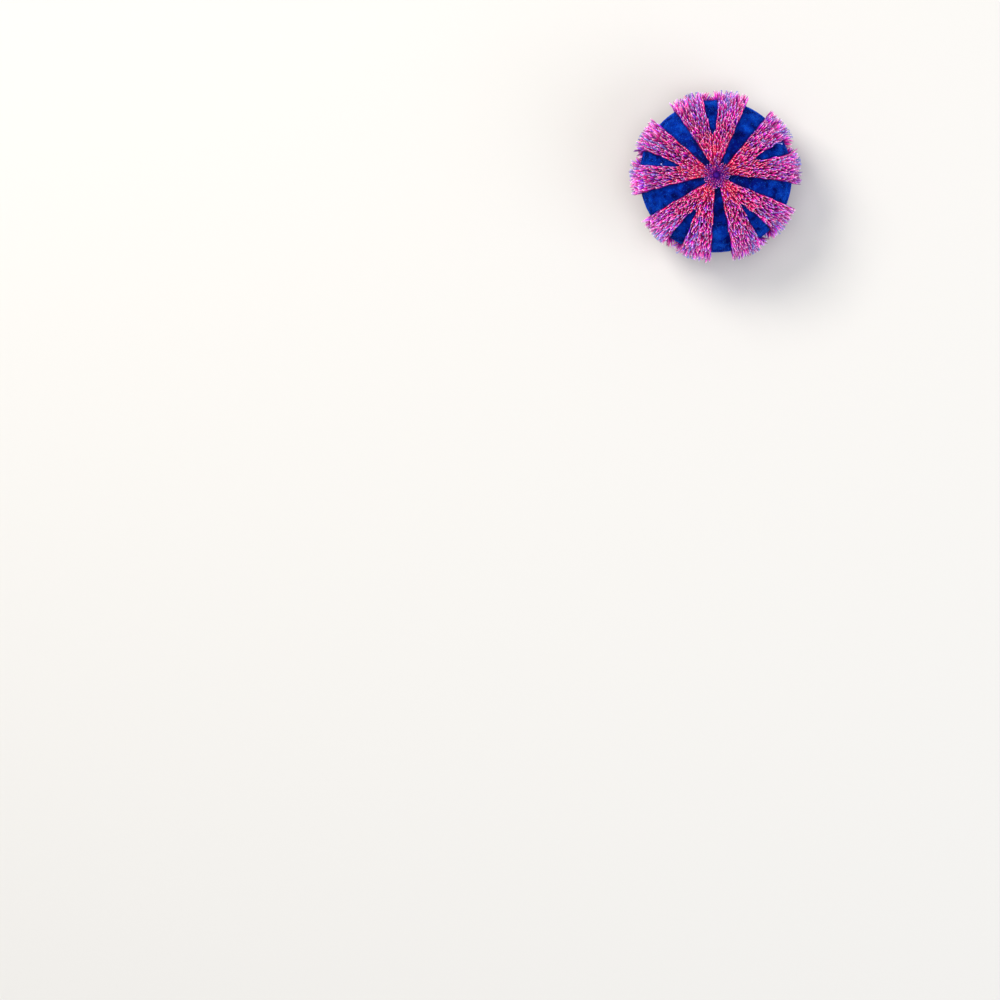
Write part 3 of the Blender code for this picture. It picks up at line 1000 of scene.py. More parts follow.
@dataclass
class Skin:
    """One closed skin from the apex over the bands and tracts to the throat."""

    columns: int = 420
    rows: int = 150
    mouth_rows: int = 30
    inset: float = 0.08 * MM
    band_sink: float = 0.22 * MM
    band_ease: float = 0.6 * MM
    calm_length: float = 2.0 * MM
    mouth_blend: float = 0.8 * MM
    lip_radius: float = 3.0 * MM
    lip_drop: float = 0.9 * MM
    throat_depth: float = 2.0 * MM
    fold_count: int = 20
    fold_height: float = 0.12 * MM
    folds: tuple[tuple[float, ...], ...] = ((0.1, 0.35, 0.55, 0.72, 0.8), (0, 1, 0.6, 1.4, 0))
    outside: float = -5.0

    def mouth_section(self, share: Array, edge: float) -> tuple[Array, Array]:
        """Section of the membrane, lip and throat.

        Args:
            share: From 0 at the membrane's edge to 1 at the throat's middle.
            edge: Height of the test at the membrane's edge.

        Returns:
            Plan radii and heights.
        """
        wide, lip, drop = SHAPE.mouth_radius, self.lip_radius, self.lip_drop
        sunk = edge + SHAPE.membrane_sink
        throat = sunk + self.throat_depth
        stations = (
            (0.0, wide, edge),
            (0.12, wide * 0.93, edge + SHAPE.membrane_sink * 0.55),
            (0.3, wide * 0.75, sunk),
            (0.5, lip * 1.25, sunk - 0.05 * MM),
            (0.6, lip, sunk - drop * 0.6),
            (0.68, lip * 0.82, sunk - drop),
            (0.74, lip * 0.66, sunk - drop * 0.85),
            (0.8, lip * 0.55, sunk - drop * 0.2),
            (0.88, lip * 0.5, throat),
            (1.0, 0.0, throat),
        )
        keys, radii, heights = np.array(stations).T
        return np.interp(share, keys, radii), np.interp(share, keys, heights)

    def surface(self) -> tuple[Array, dict[str, Array], Array]:
        """Lay out the skin in rings, from the apex down and up into the throat.

        Returns:
            The points, with the apex and the throat's middle last, the fields that the finish
            reads, and each ring's share of the way down.
        """
        end, edge = SHAPE.mouth_edge()
        lengths = end * (np.arange(1, self.rows + 1) / self.rows)
        azimuths = FRONT + ring_of(self.columns)
        length, azimuth = np.meshgrid(lengths, azimuths, indexing="ij")
        points, normals, _, _ = SHAPE.frames(length, azimuth)
        radius = np.hypot(points[..., 0], points[..., 1])
        inside = np.maximum(*PLAN.depths(radius, azimuth))
        ease = np.clip(inside / self.band_ease / 2 + 0.5, 0, 1)
        sink = self.inset + self.band_sink * ease * ease * (3 - 2 * ease)
        calm = np.clip((end - length) / self.calm_length, 0, 1)
        points = points - normals * (sink * calm)[..., None]

        share = np.arange(1, self.mouth_rows) / self.mouth_rows
        radii, heights = self.mouth_section(share, edge)
        rise = np.interp(share, *self.folds) * self.fold_height
        wavy = heights[:, None] + rise[:, None] * np.cos(self.fold_count * azimuths)
        mouth = radial(azimuths) * radii[:, None, None] + UP * wavy[..., None]
        grid = np.concatenate([points, mouth]).reshape(-1, 3)
        poles = [UP * (SHAPE.top - self.inset), UP * heights[-1]]
        near_mouth = np.clip(1 - (end - length) / self.mouth_blend, 0, 1)
        rest = mouth[..., 0].size
        fields = {
            name: np.concatenate([upper.ravel(), np.full(rest, lower), [at_apex, lower]])
            for name, upper, lower, at_apex in (
                ("band", inside / MM, self.outside, self.outside),
                ("reach", radius / SHAPE.radius, 0.0, 0.0),
                ("mouth", near_mouth, 1.0, 0.0),
            )
        }
        whole = SHAPE.whole_length()
        down = np.concatenate([lengths, end + (whole - end) * share]) / whole
        return np.concatenate([grid, poles]), fields, down

    def faces(self) -> list[Array]:
        """Join the rings.

        Returns:
            Corner numbers of the quads, and of the triangles at the apex and in the throat.
        """
        rows = self.rows + self.mouth_rows - 1
        first = np.arange(self.columns)
        second = (first + 1) % self.columns
        last = (rows - 1) * self.columns
        apex = np.full_like(first, rows * self.columns)
        top = np.stack([apex, first, second], axis=-1)
        bottom = np.stack([apex + 1, last + second, last + first], axis=-1)
        return [ring_quads(rows, self.columns)[:, [0, 3, 2, 1]], top, bottom]

    def maps(self, down: Array) -> list[Array]:
        """Places on the bake map for the face corners, in the order of the faces.

        Args:
            down: Each ring's share of the way down.

        Returns:
            Their pairs.
        """
        first = np.arange(self.columns)
        left, right = first / self.columns, (first + 1) / self.columns
        middle = (left + right) / 2
        above, below = down[:-1, None], down[1:, None]
        maps = [
            corner_pairs([left, left, right, right], [above, below, below, above]),
            corner_pairs([middle, left, right], [0.0, down[0], down[0]]),
            corner_pairs([middle, right, left], [1.0, down[-1], down[-1]]),
        ]
        return [on_sheet(places) for places in maps]

    def build(self, finish: Material, nodes: list[str]) -> Object:
        """Make the skin and dress it.

        Args:
            finish: The living skin's material.
            nodes: The solids that it stands for.

        Returns:
            The skin.
        """
        points, fields, down = self.surface()
        mesh = joined_mesh("skin", points, self.faces())
        set_bake_map(mesh, self.maps(down))
        for name, values in fields.items():
            set_field(mesh, name, values)
        return place_piece("skin", mesh, finish, nodes)


# Coats of many small forms that stand on the skin


@dataclass
class Sprouts:
    """A batch of slender forms, each with its foot, aim, length, girth and bend.

    The roots are their places on the bake map. Their finish reads tints, warmths and chills.
    """

    feet: Array
    aims: Array
    lengths: Array
    girths: Array
    bends: Array
    roots: Array
    tints: Array
    warmths: Array | float = 0.0
    chills: Array | float = 0.0


@dataclass(frozen=True)
class Profile:
    """Girth along a slender form: pairs of share of length and share of girth."""

    stations: tuple[tuple[float, float], ...]
    sides: int
    sunk: float = 0.25 * MM
    tip_rise: float = 0.6
    upright: float = 0.9
    tip_place: float = 0.98
    foot_place: float = 0.01

    def points(self, sprouts: Sprouts, rng: Generator) -> tuple[Array, Array]:
        """Ring points of every form, and its tip.

        Args:
            sprouts: The forms.
            rng: Source of each form's turn about its own axis.

        Returns:
            Points as (form, corner, 3) and each corner's share of the length.
        """
        count = len(sprouts.lengths)
        shares, girths = np.array(self.stations).T
        level = np.abs(sprouts.aims[:, 2:]) < self.upright
        across = unit(np.cross(sprouts.aims, np.where(level, UP, [1.0, 0.0, 0.0])))
        beside = np.cross(sprouts.aims, across)
        turn = rng.uniform(0, FULL_TURN, (count, 1)) + ring_of(self.sides)
        ring = np.cos(turn)[..., None] * across[:, None] + np.sin(turn)[..., None] * beside[:, None]
        along = shares * sprouts.lengths[:, None] - self.sunk * (shares == 0)
        axis = (
            sprouts.feet[:, None]
            + sprouts.aims[:, None] * along[..., None]
            + sprouts.bends[:, None] * shares[:, None] ** 2
        )
        widths = (girths * sprouts.girths[:, None])[..., None, None]
        rings = (axis[:, :, None] + ring[:, None] * widths).reshape(count, -1, 3)
        beyond = sprouts.lengths + sprouts.girths * girths[-1] * self.tip_rise
        tips = sprouts.feet + sprouts.aims * beyond[:, None] + sprouts.bends
        points = np.concatenate([rings, tips[:, None]], axis=1)
        points[..., 2] = np.maximum(points[..., 2], 0.0)
        return points, np.append(np.repeat(shares, self.sides), 1.0)

    def faces(self) -> tuple[Array, Array, Array]:
        """Join the rings of one form.

        Returns:
            Corner numbers of its side quads, its tip triangles and its foot.
        """
        levels = len(self.stations)
        side = np.arange(self.sides)
        last = (levels - 1) * self.sides
        peak = np.full_like(side, levels * self.sides)
        tip = np.stack([last + side, last + (side + 1) % self.sides, peak], axis=-1)
        return ring_quads(levels, self.sides), tip, side[::-1][None]

    def maps(self) -> tuple[Array, Array, Array]:
        """Spread the faces of one form over its patch.

        Returns:
            Pairs between 0 and 1 for its face corners, in the order of its faces.
        """
        shares = np.array(self.stations)[:, 0]
        side = np.arange(self.sides)
        left, right = side / self.sides, (side + 1) / self.sides
        low, high = shares[:-1, None], shares[1:, None]
        quads = corner_pairs([left, right, right, left], [low, low, high, high])
        tip = corner_pairs([left, right, (left + right) / 2], [self.tip_place] * 3)
        foot = np.stack([left[::-1], np.full(self.sides, self.foot_place)], axis=-1)[None]
        return quads, tip, foot

    def mesh(self, name: str, sprouts: Sprouts, rng: Generator) -> Mesh:
        """Join every form in one mesh with its bake map and the fields its finish reads.

        Args:
            name: The mesh's name.
            sprouts: The forms.
            rng: Source of each form's turn about its own axis.

        Returns:
            The mesh.
        """
        points, shares = self.points(sprouts, rng)
        count, corners = points.shape[:2]
        offset = (np.arange(count) * corners)[:, None, None]
        polygons = [(faces + offset).reshape(-1, faces.shape[1]) for faces in self.faces()]
        mesh = joined_mesh(name, points.reshape(-1, 3), polygons)
        roots = sprouts.roots[:, None, None]
        set_bake_map(mesh, [roots + PATCH * (places - 0.5) for places in self.maps()])
        set_field(mesh, "along", np.tile(shares, count))
        for field, values in (
            ("tint", sprouts.tints), ("warmth", sprouts.warmths), ("chill", sprouts.chills)
        ):
            set_field(mesh, field, np.repeat(np.broadcast_to(values, count), corners))
        return mesh


SPINE = Profile(((0.0, 0.9), (0.04, 1.25), (0.09, 1.0), (0.4, 1.0), (0.75, 0.78), (0.95, 0.5)), 6)
SMALL_SPINE = Profile(((0.0, 1.1), (0.12, 1.0), (0.6, 0.85), (0.95, 0.5)), 4)
DISC_SPINE = Profile(SPINE.stations, 6, sunk=0.2 * MM)
KNOB = Profile(((0.0, 0.55), (0.5, 0.8), (0.75, 1.0), (0.94, 0.65)), 5, sunk=0.05 * MM)
TUBE_FOOT = Profile(
    (
        (0.0, 1.5), (0.1, 1.2), (0.25, 1.0), (0.4, 0.9), (0.55, 0.82), (0.7, 0.78), (0.86, 0.76),
        (0.925, 0.95), (0.945, 1.45), (0.96, 1.95), (0.975, 2.15), (0.988, 2.0), (1.0, 1.3),
    ),
    12,
)
BUCCAL_FOOT = Profile(
    ((0.0, 1.4), (0.25, 1.05), (0.6, 0.95), (0.8, 1.1), (0.92, 1.5), (1.0, 1.3)), 12
)


@dataclass
class SpineCoat:
    """The spines of one tract, in rows that follow the growth of the plates.

    The finish reads how light, how coral and how violet each spine is from tints, warmths
    and chills. Chances and mixes are given as pairs or triples of shares.
    """

    seed: int = 1857
    first_radius: float = 4.6 * MM
    last_radius: float = 8.7 * MM
    spacing: float = 0.71 * MM
    miliary_spacing: float = 0.8 * MM
    shift: float = 0.3
    primary_share: float = 0.6
    margin: float = 0.2 * MM
    edge_wave: float = 0.16 * MM
    edge_waves: float = 4.1
    closing_end: float = math.radians(-42)
    closing_most: float = 0.8
    foot_sink: float = 0.1 * MM
    length_at_apex: float = 2.7 * MM
    length_at_rim: float = 3.75 * MM
    length_at_mouth: float = 4.7 * MM
    length_spread: tuple[float, float] = (0.6, 1.12)
    outward_lean: float = 0.04
    apex_lean: float = 0.3
    apex_lean_power: float = 5
    edge_lean: float = 0.1
    crossing_share: float = 1.15
    crossing_start: float = math.radians(16)
    crossing_end: float = math.radians(-6)
    parting: float = 2.0 * MM
    sway: float = 0.1
    sway_wavelength: float = 5.0 * MM
    sway_waves: tuple[tuple[float, ...], ...] = (
        (1.0, 0.0, 0.7, 1.0), (0.0, 0.9, -0.4, 2.1), (1.1, 2.3, 0.0, 3.0), (0.0, 0.0, 1.7, 0.6)
    )
    second_wave: float = 0.6
    lean_phase: float = 1.3
    over_phase: float = 4.0
    patch_phase: float = 2.2
    patch_shrink: float = 0.6
    jitter: float = 0.17
    edge_jitter: float = 0.35
    bend: float = 0.14 * MM
    least_fall: float = 0.01
    warm_radius: float = 8.0 * MM
    cool_radius: float = 26.5 * MM
    warm_mix: tuple[float, float, float] = (0.5, 0.3, 0.3)
    warm_power: float = 1.2
    warm_spread: float = 0.25
    flank_fade: float = 0.6
    flank_width: float = 0.2
    cool_mix: tuple[float, float, float] = (0.15, 0.25, 0.1)
    cool_spread: tuple[float, float] = (0.5, 1.0)
    cool_rest: float = 0.15
    bright_radius: float = 16.0 * MM
    bright_lift: float = 0.4
    rim_contrast: float = 1.2

    def full_length(self, angle: Array) -> Array:
        """Length of the longest spines at meridian angles."""
        end = np.where(angle >= 0, self.length_at_apex, self.length_at_mouth)
        return self.length_at_rim + (end - self.length_at_rim) * np.sin(angle) ** 2

    def scatter(
        self, index: int, side: Side, spacing: float, rng: Generator
    ) -> tuple[Array, Array, Array]:
        """Spread feet over a tract in staggered rows.

        Args:
            index: Number of the broad band that the tract flanks.
            side: Which side of that band.
            spacing: Distance between feet along a row, and between rows.
            rng: Source of the small shifts.

        Returns:
            Surface lengths from the apex, azimuths, and shares from the near edge across.
        """
        lengths, azimuths, shares = [], [], []
        span = SHAPE.span(self.first_radius, self.last_radius)
        for number, row in enumerate(np.arange(*span, spacing)):
            angle = SHAPE.angle_at(row)
            radius = SHAPE.meridian(angle)[0]
            near, far = PLAN.limits(index, radius)
            slim = max(float(PLAN.narrow_half(radius)), 0.0)
            closed = min(max(angle / self.closing_end, 0.0), self.closing_most)
            phase = 2 * index + side.value
            wave = self.edge_wave * math.sin(row / self.sway_wavelength * self.edge_waves + phase)
            far = far + slim * closed / radius
            near = near + (self.margin + wave) / radius
            far = far - (self.margin - wave if slim > 0 else spacing / 3) / radius
            count = max(2, round((far - near) * radius / spacing) + number % 2)
            share = np.linspace(0, 1, count)
            inner = (share > 0) & (share < 1)
            share = share + inner * rng.uniform(-self.shift, self.shift, count) / count
            lengths.append(row + rng.uniform(-self.shift, self.shift, count) * spacing)
            azimuths.append(FRONT + SECTOR * index + side.value * (near + (far - near) * share))
            shares.append(share)
        return np.concatenate(lengths), np.concatenate(azimuths), np.concatenate(shares)

    def sways(self, points: Array, phase: float) -> Array:
        """Lean that neighbouring spines share, so that they stand in loose tufts.

        Args:
            points: Feet of the spines.
            phase: Shift of the waves.

        Returns:
            Slopes.
        """
        turns = points / self.sway_wavelength * FULL_TURN
        a, b, c, d = (np.sin(turns @ way + late * phase) for *way, late in self.sway_waves)
        return self.sway * (a * b + self.second_wave * c * d)

    def sideways_lean(self, angle: Array, radius: Array, shares: Array) -> Array:
        """Slope by which spines lean across their tract, below 0 towards the broad band.

        On the dome those at the edges lean towards the tract's middle. Lower down those
        beside a narrow band lean over it.

        Args:
            angle: Meridian angles.
            radius: Plan radii.
            shares: Shares from the broad band's edge across.

        Returns:
            The slopes.
        """
        low = (self.crossing_start - angle) / (self.crossing_start - self.crossing_end)
        low = np.clip(low, 0, 1)
        room = np.clip(PLAN.narrow_half(radius), 0, None) + self.margin
        crossing = self.crossing_share * room / self.full_length(angle)
        parting = np.clip((radius - PLAN.narrow_start) / self.parting + 1, 0, 1)
        inward = self.edge_lean * (1 - low) * parting
        edge = np.abs(1 - 2 * shares) ** 2
        return edge * np.where(shares < 0.5, self.edge_lean * (1 - low), crossing * low - inward)

    def grow(
        self, side: Side, kinds: Array, lengths: Array, azimuths: Array, shares: Array,
        rng: Generator,
    ) -> Sprouts:
        """Grow spines from feet.

        Args:
            side: Which side of its broad band the tract flanks.
            kinds: Girth and share of the full length, one row a spine.
            lengths: Surface lengths from the apex to the feet.
            azimuths: Azimuths of the feet.
            shares: Shares from the tract's near edge across.
            rng: Source of the variation.

        Returns:
            The spines.
        """
        count = len(lengths)
        angle = SHAPE.angle_at(lengths)
        points, normals, downs, sides = SHAPE.frames(lengths, azimuths)
        radius = np.hypot(points[:, 0], points[:, 1])
        apex = np.clip(np.sin(angle), 0, 1) ** self.apex_lean_power
        lean = self.outward_lean + self.apex_lean * apex + self.sways(points, self.lean_phase)
        lean = lean + rng.normal(0, self.jitter, count)
        middle = 1 - np.abs(1 - 2 * shares) ** 4
        over = side.value * self.sideways_lean(angle, radius, shares)
        over = over + self.sways(points, self.over_phase) * middle
        loose = self.edge_jitter + (1 - self.edge_jitter) * middle
        over = over + rng.normal(0, self.jitter, count) * loose
        aims = unit(normals + downs * lean[:, None] + sides * over[:, None])
        full = self.full_length(angle) * kinds[:, 1] * rng.uniform(*self.length_spread, count)
        falling = -aims[:, 2] > self.least_fall
        full = np.where(falling, np.minimum(full, points[:, 2] / np.abs(aims[:, 2])), full)

        growth = np.clip((radius - self.warm_radius) / (self.cool_radius - self.warm_radius), 0, 1)
        growth = np.where(angle > 0, growth, 1.0)
        flank = np.clip(1 - np.minimum(shares, 1 - shares) / self.flank_width, 0, 1)
        patch = self.sways(points * self.patch_shrink, self.patch_phase) / self.sway
        inner, beside, patchy = self.warm_mix
        warm = inner * (1 - growth) ** self.warm_power
        warm = warm + beside * flank * (1 - self.flank_fade * growth) + patchy * patch
        warm = np.clip(warm + rng.normal(0, self.warm_spread, count), 0, 1)
        everywhere, outer, patchy = self.cool_mix
        cool = rng.uniform(0, 1, count) < everywhere + outer * growth - patchy * patch
        cool = np.where(cool, rng.uniform(*self.cool_spread, count), self.cool_rest * growth)
        bends = sides * rng.normal(0, self.bend, (count, 1))
        bends = bends - downs * rng.normal(0, self.bend, (count, 1))
        lift = np.where(angle > 0, np.clip(2 - 2 * radius / self.bright_radius, 0, 1), 0)
        tints = rng.uniform(0, 1, count)
        tints = tints + self.bright_lift * lift * (1 - tints)
        tints = tints + self.rim_contrast * growth**2 * (tints - 0.5)
        feet = points - normals * self.foot_sink
        roots = bake_place(lengths, azimuths)
        return Sprouts(feet, aims, full, kinds[:, 0], bends, roots, tints, warm, cool)

    def build(self, index: int, side: Side, finish: Material) -> Object:
        """Make the spines of one tract and dress them.

        Args:
            index: Number of the broad band that the tract flanks.
            side: Which side of that band.
            finish: The spines' material.

        Returns:
            The coat.
        """
        rng = np.random.default_rng(self.seed + index * 2 + (side is Side.LEFT))
        feet = self.scatter(index, side, self.spacing, rng)
        primary = rng.uniform(0, 1, (len(feet[0]), 1)) < self.primary_share
        kinds = np.where(primary, SpineKind.PRIMARY.value, SpineKind.SECONDARY.value)
        tall = self.grow(side, kinds, *feet, rng)
        feet = self.scatter(index, side, self.miliary_spacing, rng)
        kinds = np.full((len(feet[0]), 2), SpineKind.MILIARY.value)
        small = self.grow(side, kinds, *feet, rng)
        name = f"spines_{index + 1}{side.letter}"
        mesh = SPINE.mesh(name, tall, rng)
        merge_meshes(mesh, SMALL_SPINE.mesh(name, small, rng))
        node = f"spiny_tract_{index + 1}{side.letter}"
        return place_piece(name, mesh, finish, [node])


@dataclass
class BandVelvet:
    """The nap of tiny stalked knobs on one bare band."""

    seed: int = 711
    spacing: float = 0.46 * MM
    row_share: float = 0.87
    shift: float = 0.25
    height: float = 0.38 * MM
    height_spread: tuple[float, float] = (0.75, 1.15)
    girth: float = 0.13 * MM
    girth_spread: tuple[float, float] = (0.8, 1.2)
    lean: float = 0.1
    lean_spread: float = 0.15
    margin: float = 0.16 * MM
    foot_sink: float = 0.27 * MM
    first_radius: float = 4.4 * MM
    last_radius: float = 8.5 * MM

    def build(self, index: int, narrow: bool, finish: Material) -> Object:
        """Make the knobs of a band and dress them.

        Args:
            index: The band's number.
            narrow: Whether it is a narrow band.
            finish: The knobs' material.

        Returns:
            The velvet.
        """
        rng = np.random.default_rng(self.seed + 2 * index + narrow)
        middle = FRONT + SECTOR * index + HALF_SECTOR * narrow
        lengths, azimuths = [], []
        span = SHAPE.span(self.first_radius, self.last_radius)
        for number, row in enumerate(np.arange(*span, self.spacing * self.row_share)):
            radius = float(SHAPE.meridian(SHAPE.angle_at(row))[0])
            reach = int(HALF_SECTOR / 2 * radius / self.spacing) + 1
            steps = np.arange(-reach, reach + 1) + 0.5 * (number % 2)
            steps = steps + rng.uniform(-self.shift, self.shift, len(steps))
            around = middle + steps * self.spacing / radius
            around = around[PLAN.depths(radius, around)[int(narrow)] > self.margin]
            azimuths.append(around)
            shifts = rng.uniform(-self.shift, self.shift, len(around))
            lengths.append(row + shifts * self.spacing)
        length, azimuth = np.concatenate(lengths), np.concatenate(azimuths)
        count = len(length)
        points, normals, downs, sides = SHAPE.frames(length, azimuth)
        down = rng.normal(self.lean, self.lean_spread, (count, 1))
        over = rng.normal(0, self.lean_spread, (count, 1))
        radius = np.hypot(points[:, 0], points[:, 1])
        sprouts = Sprouts(
            feet=points - normals * self.foot_sink,
            aims=unit(normals + downs * down + sides * over),
            lengths=self.height * rng.uniform(*self.height_spread, count),
            girths=self.girth * rng.uniform(*self.girth_spread, count),
            bends=np.zeros((count, 3)),
            roots=bake_place(length, azimuth),
            tints=rng.uniform(0, 1, count),
            warmths=radius / SHAPE.radius,
            chills=PLAN.depths(radius, azimuth)[int(narrow)] / MM,
        )
        kind = "narrow" if narrow else "broad"
        name = f"velvet_{kind}_{index + 1}"
        mesh = KNOB.mesh(name, sprouts, rng)
        return place_piece(name, mesh, finish, [f"{kind}_band_{index + 1}"])


@dataclass
class TubeFeet:
    """Slender tube feet with suckers among the spines, most of them low on the flanks."""

    seed: int = 29
    spacing: float = 1.7 * MM
    shift: float = 0.3
    across: tuple[float, float] = (0.55, 0.85)
    girth: float = 0.14 * MM
    length: float = 5.2 * MM
    length_spread: tuple[float, float] = (0.8, 1.0)
    lean: float = 0.1
    lean_spread: float = 0.2
    droop: float = 0.3 * MM
    droop_spread: float = 0.5 * MM
    curl_spread: float = 0.7 * MM
    least_fall: float = 0.05
    least_outward: float = 0.2
    first_radius: float = 17.0 * MM
    last_radius: float = 9.4 * MM
    foot_sink: float = 0.1 * MM
    reach_limit: float = 29.4 * MM

    def build(self, finish: Material) -> Object:
        """Make the tube feet of every tract and dress them.

        Args:
            finish: The tube feet's material.

        Returns:
            The tube feet.
        """
        rng = np.random.default_rng(self.seed)
        rows = np.arange(*SHAPE.span(self.first_radius, self.last_radius), self.spacing)
        lengths, azimuths = [], []
        for index in range(SECTORS):
            for side in Side:
                length = rows + rng.uniform(-self.shift, self.shift, len(rows)) * self.spacing
                near, far = PLAN.limits(index, SHAPE.meridian(SHAPE.angle_at(length))[0])
                share = rng.uniform(*self.across, len(rows))
                lengths.append(length)
                azimuths.append(FRONT + SECTOR * index + side.value * (near + (far - near) * share))
        length, azimuth = np.concatenate(lengths), np.concatenate(azimuths)
        count = len(length)
        points, normals, downs, sides = SHAPE.frames(length, azimuth)
        down = rng.normal(self.lean, self.lean_spread, (count, 1))
        aims = unit(normals + downs * down + sides * rng.normal(0, self.lean_spread, (count, 1)))
        bends = downs * rng.normal(self.droop, self.droop_spread, (count, 1))
        bends = bends + sides * rng.normal(0, self.curl_spread, (count, 1))
        reach = self.length * rng.uniform(*self.length_spread, count)
        falling = -(aims[:, 2] + bends[:, 2] / reach)
        room = (points[:, 2] - 2 * self.girth) / np.maximum(falling, self.least_fall)
        reach = np.where(falling > self.least_fall, np.minimum(reach, room), reach)
        outward = np.maximum(np.hypot(aims[:, 0], aims[:, 1]), self.least_outward)
        radius = np.hypot(points[:, 0], points[:, 1])
        reach = np.minimum(reach, (self.reach_limit - radius) / outward)
        sprouts = Sprouts(
            feet=points - normals * self.foot_sink,
            aims=aims,
            lengths=reach,
            girths=np.full(count, self.girth),
            bends=bends,
            roots=bake_place(length, azimuth),
            tints=rng.uniform(0, 1, count),
        )
        mesh = TUBE_FOOT.mesh("tube_feet", sprouts, rng)
        return place_piece("tube_feet", mesh, finish, [])


# The apical disc and the mouth


@dataclass
class ApicalDisc:
    """Genital and ocular plates round the soft periproct, and the genital plates' pores."""

    plate_inner: float = 1.3 * MM
    plate_outer: float = 3.5 * MM
    plate_rise: float = 0.34 * MM
    corner_room: float = 1.0 * MM
    seam: float = 0.06 * MM
    arc_steps: int = 9
    ocular_ring: float = 3.15 * MM
    ocular_radius: float = 0.75 * MM
    ocular_rise: float = 0.26 * MM
    ocular_sides: int = 10
    section: tuple[tuple[float, float], ...] = (
        (1.0, 0.6 * MM), (1.0, 0.16 * MM), (0.93, 0.04 * MM), (0.8, 0.0), (0.55, -0.02 * MM),
        (0.25, -0.03 * MM),
    )
    fall: float = 0.012 / MM
    pore_radius: float = 0.17 * MM
    pore_place: float = 2.8 * MM
    pore_sink: float = 0.03 * MM
    pore_sides: int = 14
    pore_section: tuple[tuple[float, float], ...] = (
        (1.9, -0.1 * MM), (1.6, 0.06 * MM), (1.3, 0.12 * MM), (1.0, 0.1 * MM), (0.8, -0.02 * MM),
        (0.6, -0.1 * MM),
    )

    def plate(self, outline: Array, rise: float) -> Array:
        """Shape one plate with rounded shoulders and a slightly domed face.

        Args:
            outline: Its corners in plan, in order round it.
            rise: Height of its face above the top of the test.

        Returns:
            Its points as (ring, point, 3).
        """
        middle = outline.mean(axis=0)
        rings = []
        for share, sink in self.section:
            edge = middle + (outline - middle) * share
            heights = SHAPE.top + rise - sink - self.fall * (edge**2).sum(axis=1)
            rings.append(np.column_stack([edge, heights]))
        return np.array(rings)

    def genital_outline(self, middle: float) -> Array:
        """Outline of a genital plate, a wedge with room for an ocular plate at each corner.

        Args:
            middle: Its azimuth.

        Returns:
            Its corners in plan.
        """
        shares = np.linspace(-1, 1, self.arc_steps)
        outer = self.plate_outer - self.corner_room * np.abs(shares[::-1]) ** 3
        radius = np.concatenate([np.full(self.arc_steps, self.plate_inner), outer])
        shares = np.concatenate([shares, shares[::-1]])
        return radial(middle + (HALF_SECTOR - self.seam / radius) * shares)[:, :2] * radius[:, None]

    def build_plates(self, finish: Material) -> Object:
        """Make the ten plates and dress them.

        Args:
            finish: The plates' material.

        Returns:
            The plates.
        """
        solids = []
        for index in range(SECTORS):
            middle = FRONT + SECTOR * index
            solids.append(self.plate(self.genital_outline(middle), self.plate_rise))
            turned = middle + HALF_SECTOR
            ring = radial(ring_of(self.ocular_sides) + turned) * self.ocular_radius
            outline = radial(np.array(turned)) * self.ocular_ring + ring
            solids.append(self.plate(outline[:, :2], self.ocular_rise))
        mesh = ring_solids("apical_plates", solids)
        return place_piece("apical_plates", mesh, finish, ["apical_disc"])

    def build_pores(self, finish: Material) -> Object:
        """Make the low rim of the pore on each genital plate and dress it.

        Args:
            finish: The pores' material.

        Returns:
            The pores.
        """
        shares, heights = np.array(self.pore_section).T
        rim = radial(ring_of(self.pore_sides)) * (self.pore_radius * shares)[:, None, None]
        rim = rim + UP * (SHAPE.top + self.plate_rise - self.pore_sink + heights)[:, None, None]
        middles = radial(FRONT + SECTOR * np.arange(SECTORS)) * self.pore_place
        mesh = ring_solids("genital_pores", [rim + middle for middle in middles])
        along = np.repeat(np.linspace(0, 1, len(shares)), self.pore_sides)
        set_field(mesh, "along", np.tile(along, SECTORS))
        return place_piece("genital_pores", mesh, finish, ["apical_disc"])


@dataclass
class Periproct:
    """The soft cone round the vent, with low folds across and round it."""

    radius: float = 1.2 * MM
    height: float = 0.85 * MM
    sink: float = 0.3 * MM
    foot_share: float = 1.05
    taper: float = 0.9
    crown: float = 1.9
    folds: int = 10
    fold_share: float = 0.05
    fold_twist: float = 5.0
    ripple: float = 0.05 * MM
    ripple_turn: float = 12.0
    rings: int = 10
    sides: int = 40

    def build(self, finish: Material) -> Object:
        """Make the periproct and dress it.

        Args:
            finish: The plates' material.

        Returns:
            The periproct.
        """
        share = np.linspace(0, 1, self.rings)[:, None]
        azimuth = ring_of(self.sides)
        fold = 1 + self.fold_share * np.cos(self.folds * azimuth + self.fold_twist * share)
        radius = self.radius * (self.foot_share - self.taper * share) * fold
        height = self.height * np.sin(share * self.crown) / math.sin(self.crown)
        height = height + self.ripple * np.sin(share * self.ripple_turn)
        height = height + SHAPE.top - self.sink
        rings = radial(azimuth) * radius[..., None] + UP * height[..., None]
        mesh = ring_solids("periproct", [rings])
        return place_piece("periproct", mesh, finish, ["apical_disc"])


